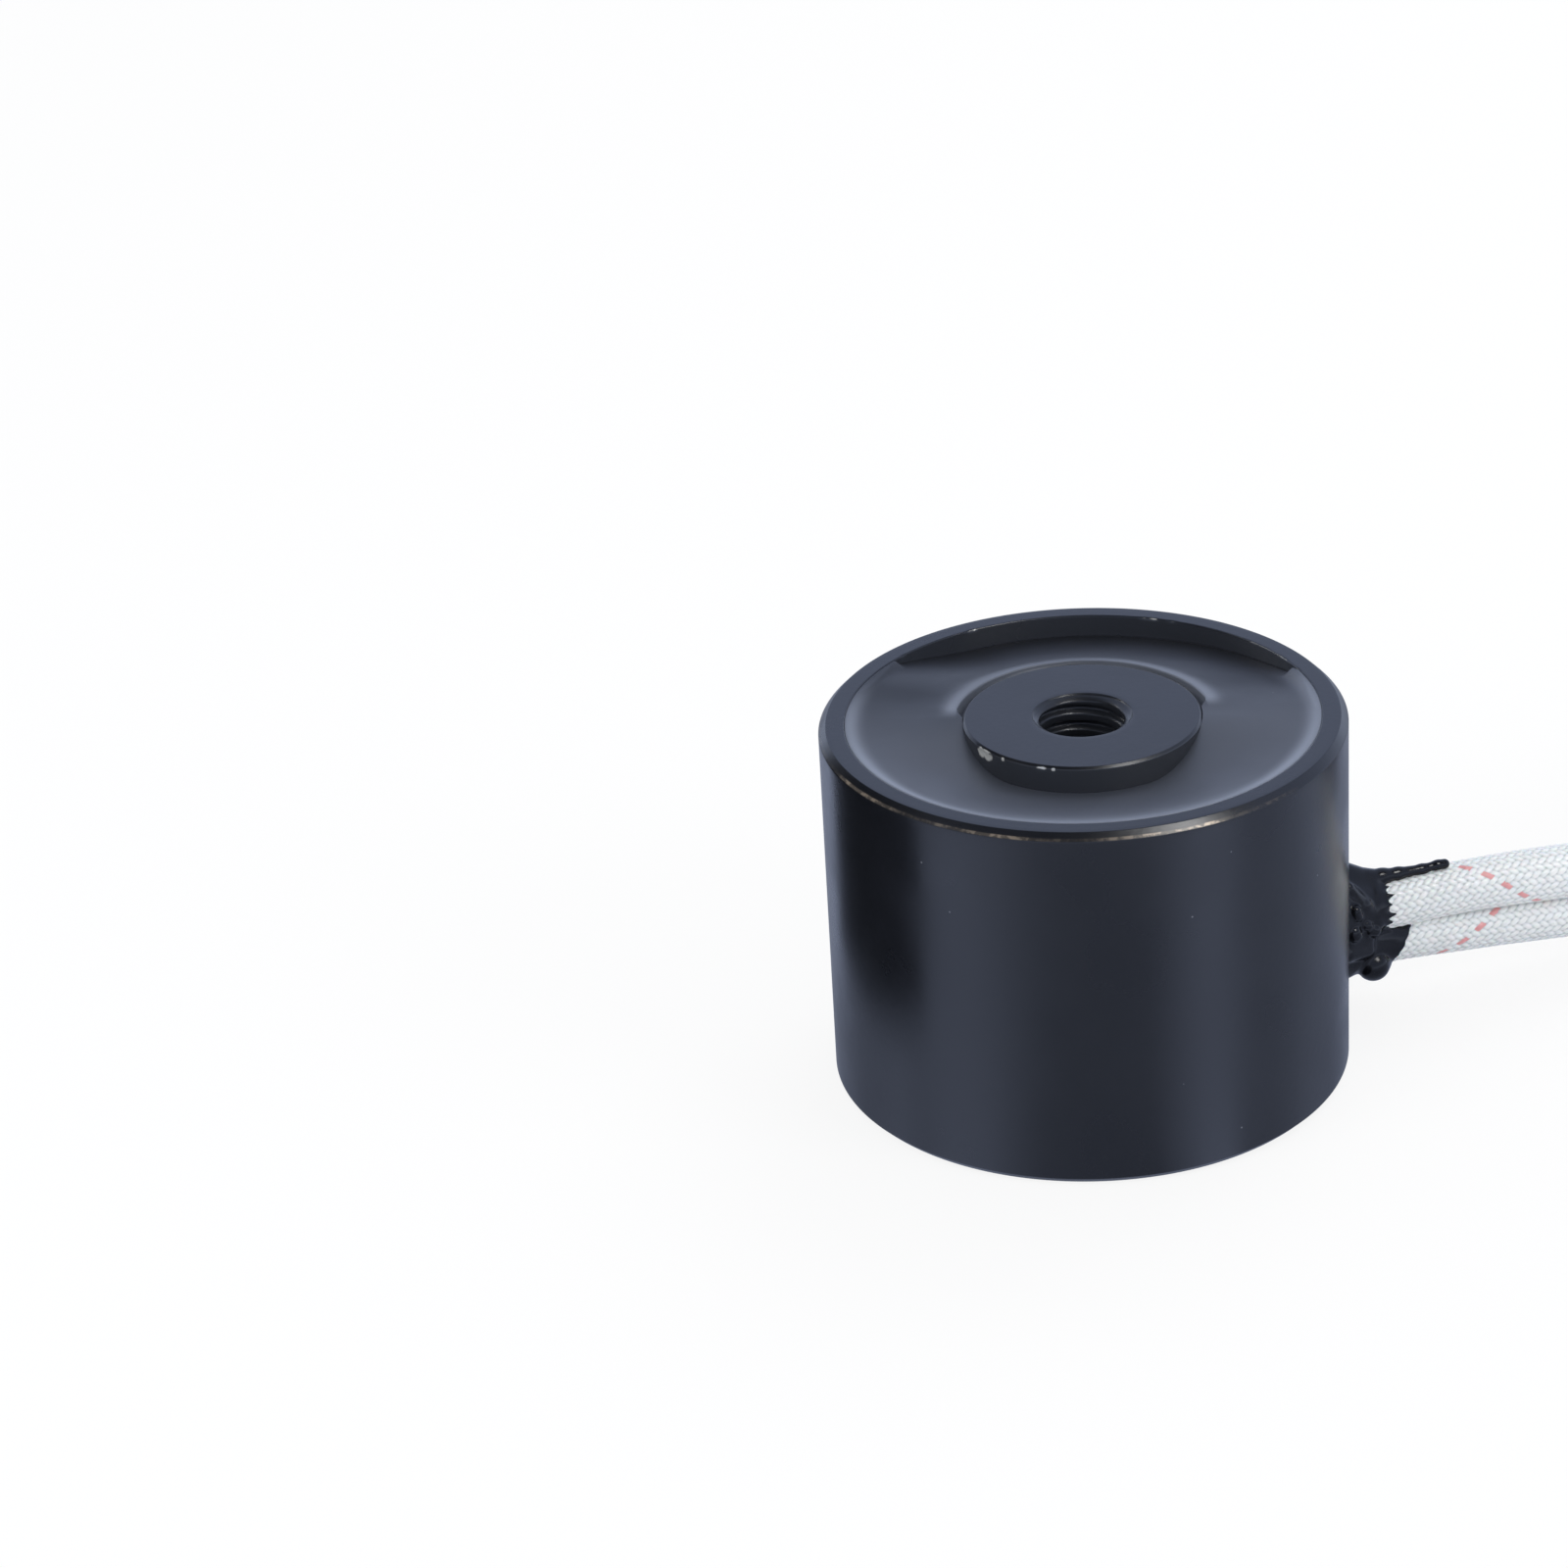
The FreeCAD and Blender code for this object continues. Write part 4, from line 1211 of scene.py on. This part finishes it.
def make_floor():
    """A pale floor: almost white to the camera, with its shadow, and dimmer in reflections."""
    floor = rectangle("floor", 1.5, 1.5)
    floor.location.z = -0.00002
    finish = Finish("pale_floor")
    finish.set(Base_Color=FLOOR_COLOUR, Roughness=0.9, Specular_IOR_Level=0.0)
    camera = finish.ray("Is Camera Ray")
    colour = finish.mixed(camera, FLOOR_MIRRORED, WHITE)
    glow = finish.add("Emission", "Emission", {"Color": colour})
    seen = finish.maths("MAXIMUM", camera, finish.ray("Is Glossy Ray"))
    share = finish.maths("MULTIPLY", seen, FLOOR_WHITENESS)
    finish.show_blend(share, finish.shader.outputs["BSDF"], glow, "Material Output")
    paint(floor, finish.material)


def make_sky():
    """Even pale light all round: white to the camera, and in reflections darker with height."""
    world = bpy.data.worlds.new("studio")
    bpy.context.scene.world = world
    tree = NodeTree(world)
    light = tree.nodes["Background"]
    tree.fill(light.inputs["Color"], SKY_COLOUR)
    tree.fill(light.inputs["Strength"], SKY_LEVEL)
    direction = tree.add("TexCoord", "Generated", {})
    height = tree.add("SeparateXYZ", "Z", {"Vector": direction})
    mirrored = tree.mixed(tree.ramp(height, *HORIZON_RISE), HORIZON_MIRRORED, SKY_MIRRORED)
    glossy = tree.ray("Is Glossy Ray")
    white = tree.add("Background", "Background", {"Color": tree.mixed(glossy, WHITE, mirrored)})
    seen = tree.maths("MAXIMUM", tree.ray("Is Camera Ray"), glossy)
    seen = tree.maths("MAXIMUM", seen, tree.ray("Is Transmission Ray"))
    tree.show_blend(seen, light.outputs["Background"], white, "World Output")


def aimed(piece, azimuth, elevation, distance, height=MIDDLE):
    """Put a lamp or card round the object, facing it. Azimuth is from the camera's side."""
    turn = math.radians(CAMERA_HEADING + azimuth)
    rise = math.radians(elevation)
    direction = Vector(
        (math.sin(turn) * math.cos(rise), -math.cos(turn) * math.cos(rise), math.sin(rise))
    )
    piece.location = direction * distance + Vector((0, 0, height))
    piece.rotation_euler = direction.to_track_quat("Z", "Y").to_euler()


# azimuth from the camera's side (positive to the right), elevation, distance, size, watts
LAMPS = [
    ("left_softbox", -58.0, 32.0, 0.40, 0.16, 0.40),
    ("right_softbox", 56.0, 30.0, 0.42, 0.18, 0.45),
    ("top_softbox", 150.0, 50.0, 0.50, 0.30, 0.7),
]


def make_lamps():
    for name, azimuth, elevation, distance, size, watts in LAMPS:
        data = bpy.data.lights.new(name, "AREA")
        data.shape = "SQUARE"
        data.size = size
        data.energy = watts
        lamp = bpy.data.objects.new(name, data)
        bpy.context.collection.objects.link(lamp)
        lamp.visible_glossy = False
        aimed(lamp, azimuth, elevation, distance)


# Cards that only reflections see: azimuth and elevation as for the lamps, distance, width,
# height, level of the middle, and how much it glows. A black card darkens what mirrors it, and
# a glowing one makes glints.
CARDS = [
    ("side_card", -88.0, 0.0, 0.0255, 0.026, 0.060, 0.0302, 0.0),
    ("over_card", 0.0, 70.0, 0.300, 0.560, 0.270, MIDDLE, 0.0),
    ("glint_card", 48.0, 53.0, 0.240, 0.066, 0.076, MIDDLE, 15.0),
    ("side_glint_card", -112.0, 32.0, 0.350, 0.090, 0.080, MIDDLE, 9.0),
]

# What the pot's wall mirrors from the floor before it: the turn of the wall from the camera's
# side in degrees, and how bright the floor is that this part of the wall mirrors.
MIRRORED_FLOOR = [
    (-76.0, 0.80),
    (-60.0, 0.78),
    (-48.0, 1.00),
    (-40.0, 0.84),
    (-32.0, 1.00),
    (-24.0, 1.00),
    (-17.0, 0.70),
    (-11.0, 0.47),
    (-5.0, 0.42),
    (5.0, 0.41),
    (14.0, 0.43),
    (19.0, 0.76),
    (25.0, 1.14),
    (30.0, 1.14),
    (35.0, 0.62),
    (41.0, 0.50),
    (48.0, 0.51),
    (56.0, 0.60),
    (76.0, 0.72),
]
MIRROR_TINT = (1.0, 1.15, 1.60)


def only_mirrored(piece, colour, glow):
    """Make a card black but for its glow, and keep it out of everything but reflections."""
    finish = Finish(piece.name)
    glow = finish.attribute(glow) if isinstance(glow, str) else glow
    finish.set(Base_Color=BLACK, Specular_IOR_Level=0.0)
    finish.set(Emission_Color=colour, Emission_Strength=glow)
    paint(piece, finish.material)
    piece.visible_camera = False
    piece.visible_diffuse = False
    piece.visible_shadow = False
    piece.visible_transmission = False


def make_cards():
    for name, azimuth, elevation, distance, width, tall, level, glow in CARDS:
        card = rectangle(name, width / 2, tall / 2)
        aimed(card, azimuth, elevation, distance, level)
        only_mirrored(card, WHITE, glow)


def foot_shade(turn, height):
    """How the floor darkens towards the pot, as its wall mirrors it at this height."""
    low = 1 - smooth_step(height, 15.0, 20.5)
    foot = 1 - smooth_step(height, 3.0, 14.0)
    sides = 0.40 * smooth_step(-turn, 28.0, 62.0) + 0.35 * smooth_step(turn, 50.0, 68.0)
    return 1 - 0.17 * low - sides * foot


def make_mirrored_floor():
    """A fan on the floor, laid where the pot's wall mirrors it to the camera."""
    seen_from = math.degrees(math.atan2(CAMERA_PLACE[0], -CAMERA_PLACE[1]))
    turns = [turn for turn, _ in MIRRORED_FLOOR]
    levels = [level for _, level in MIRRORED_FLOOR]
    fine = np.arange(turns[0], turns[-1] + 0.5, 1.0)
    heights = np.linspace(0.0, TOP * 1.4, 24)
    wall = np.radians(seen_from + fine)[:, None]
    away = np.radians(seen_from + 2 * fine)[:, None]
    reach = heights[None, :] / math.tan(math.radians(CAMERA_ELEVATION))
    across = OUTER * np.sin(wall) + reach * np.sin(away)
    along = -OUTER * np.cos(wall) - reach * np.cos(away)
    places = np.stack([across, along, np.full_like(across, 0.02)], axis=-1)
    rows, columns = across.shape
    faces = []
    for row in range(rows - 1):
        for column in range(columns - 1):
            corner = row * columns + column
            faces.append((corner, corner + 1, corner + columns + 1, corner + columns))
    level = np.interp(fine, turns, levels)[:, None] * foot_shade(fine[:, None], heights[None, :])
    fan = plain_mesh("mirrored_floor", places.reshape(-1, 3) * MM, faces, {"level": level})
    only_mirrored(fan, MIRROR_TINT, "level")


make_camera()
upper_curve, upper_line = lead_curve("upper", UPPER_START, UPPER_RUN, 1, UPPER_END)
lower_curve, lower_line = lead_curve("lower", LOWER_START, LOWER_RUN, 0, LOWER_END)
upper_own = leaned(straight_part(upper_line), *UPPER_SHIFT)
lower_own = leaned(straight_part(lower_line), *LOWER_SHIFT)
upper = make_lead(
    "upper", upper_curve, upper_line, upper_own, lower_own, 1, UPPER_BRAID
)
lower = make_lead(
    "lower", lower_curve, lower_line, lower_own, upper_own, -1, LOWER_BRAID
)
pot = make_shell()
core = make_core()
casting = make_potting()
sealant = make_sealant()

paint(pot, coated_steel("pot_coat", COAT, 0.30))
paint(core, coated_steel("core_coat", COAT, 0.31))
paint(casting, cast_resin("cast_resin"))
paint(sealant, glossy_sealant("sealant_black"))
strand_finish = tinned_copper("tinned_strands")
paint_inner_nodes(strand_finish)
jacket = plain_finish(
    "lead_jacket", (0.010, 0.010, 0.012), (0.022, 0.022, 0.025), 500.0, 0.36, 0.000012
)
braid_finish = glass_braid("glass_braid")
for wire, sleeve, strands in (upper, lower):
    paint(wire, jacket)
    paint(sleeve, braid_finish)
    paint(strands, strand_finish)

make_floor()
make_sky()
make_lamps()
make_cards()
make_mirrored_floor()

bpy.context.scene.view_settings.view_transform = "Standard"

bpy.context.view_layer.update()
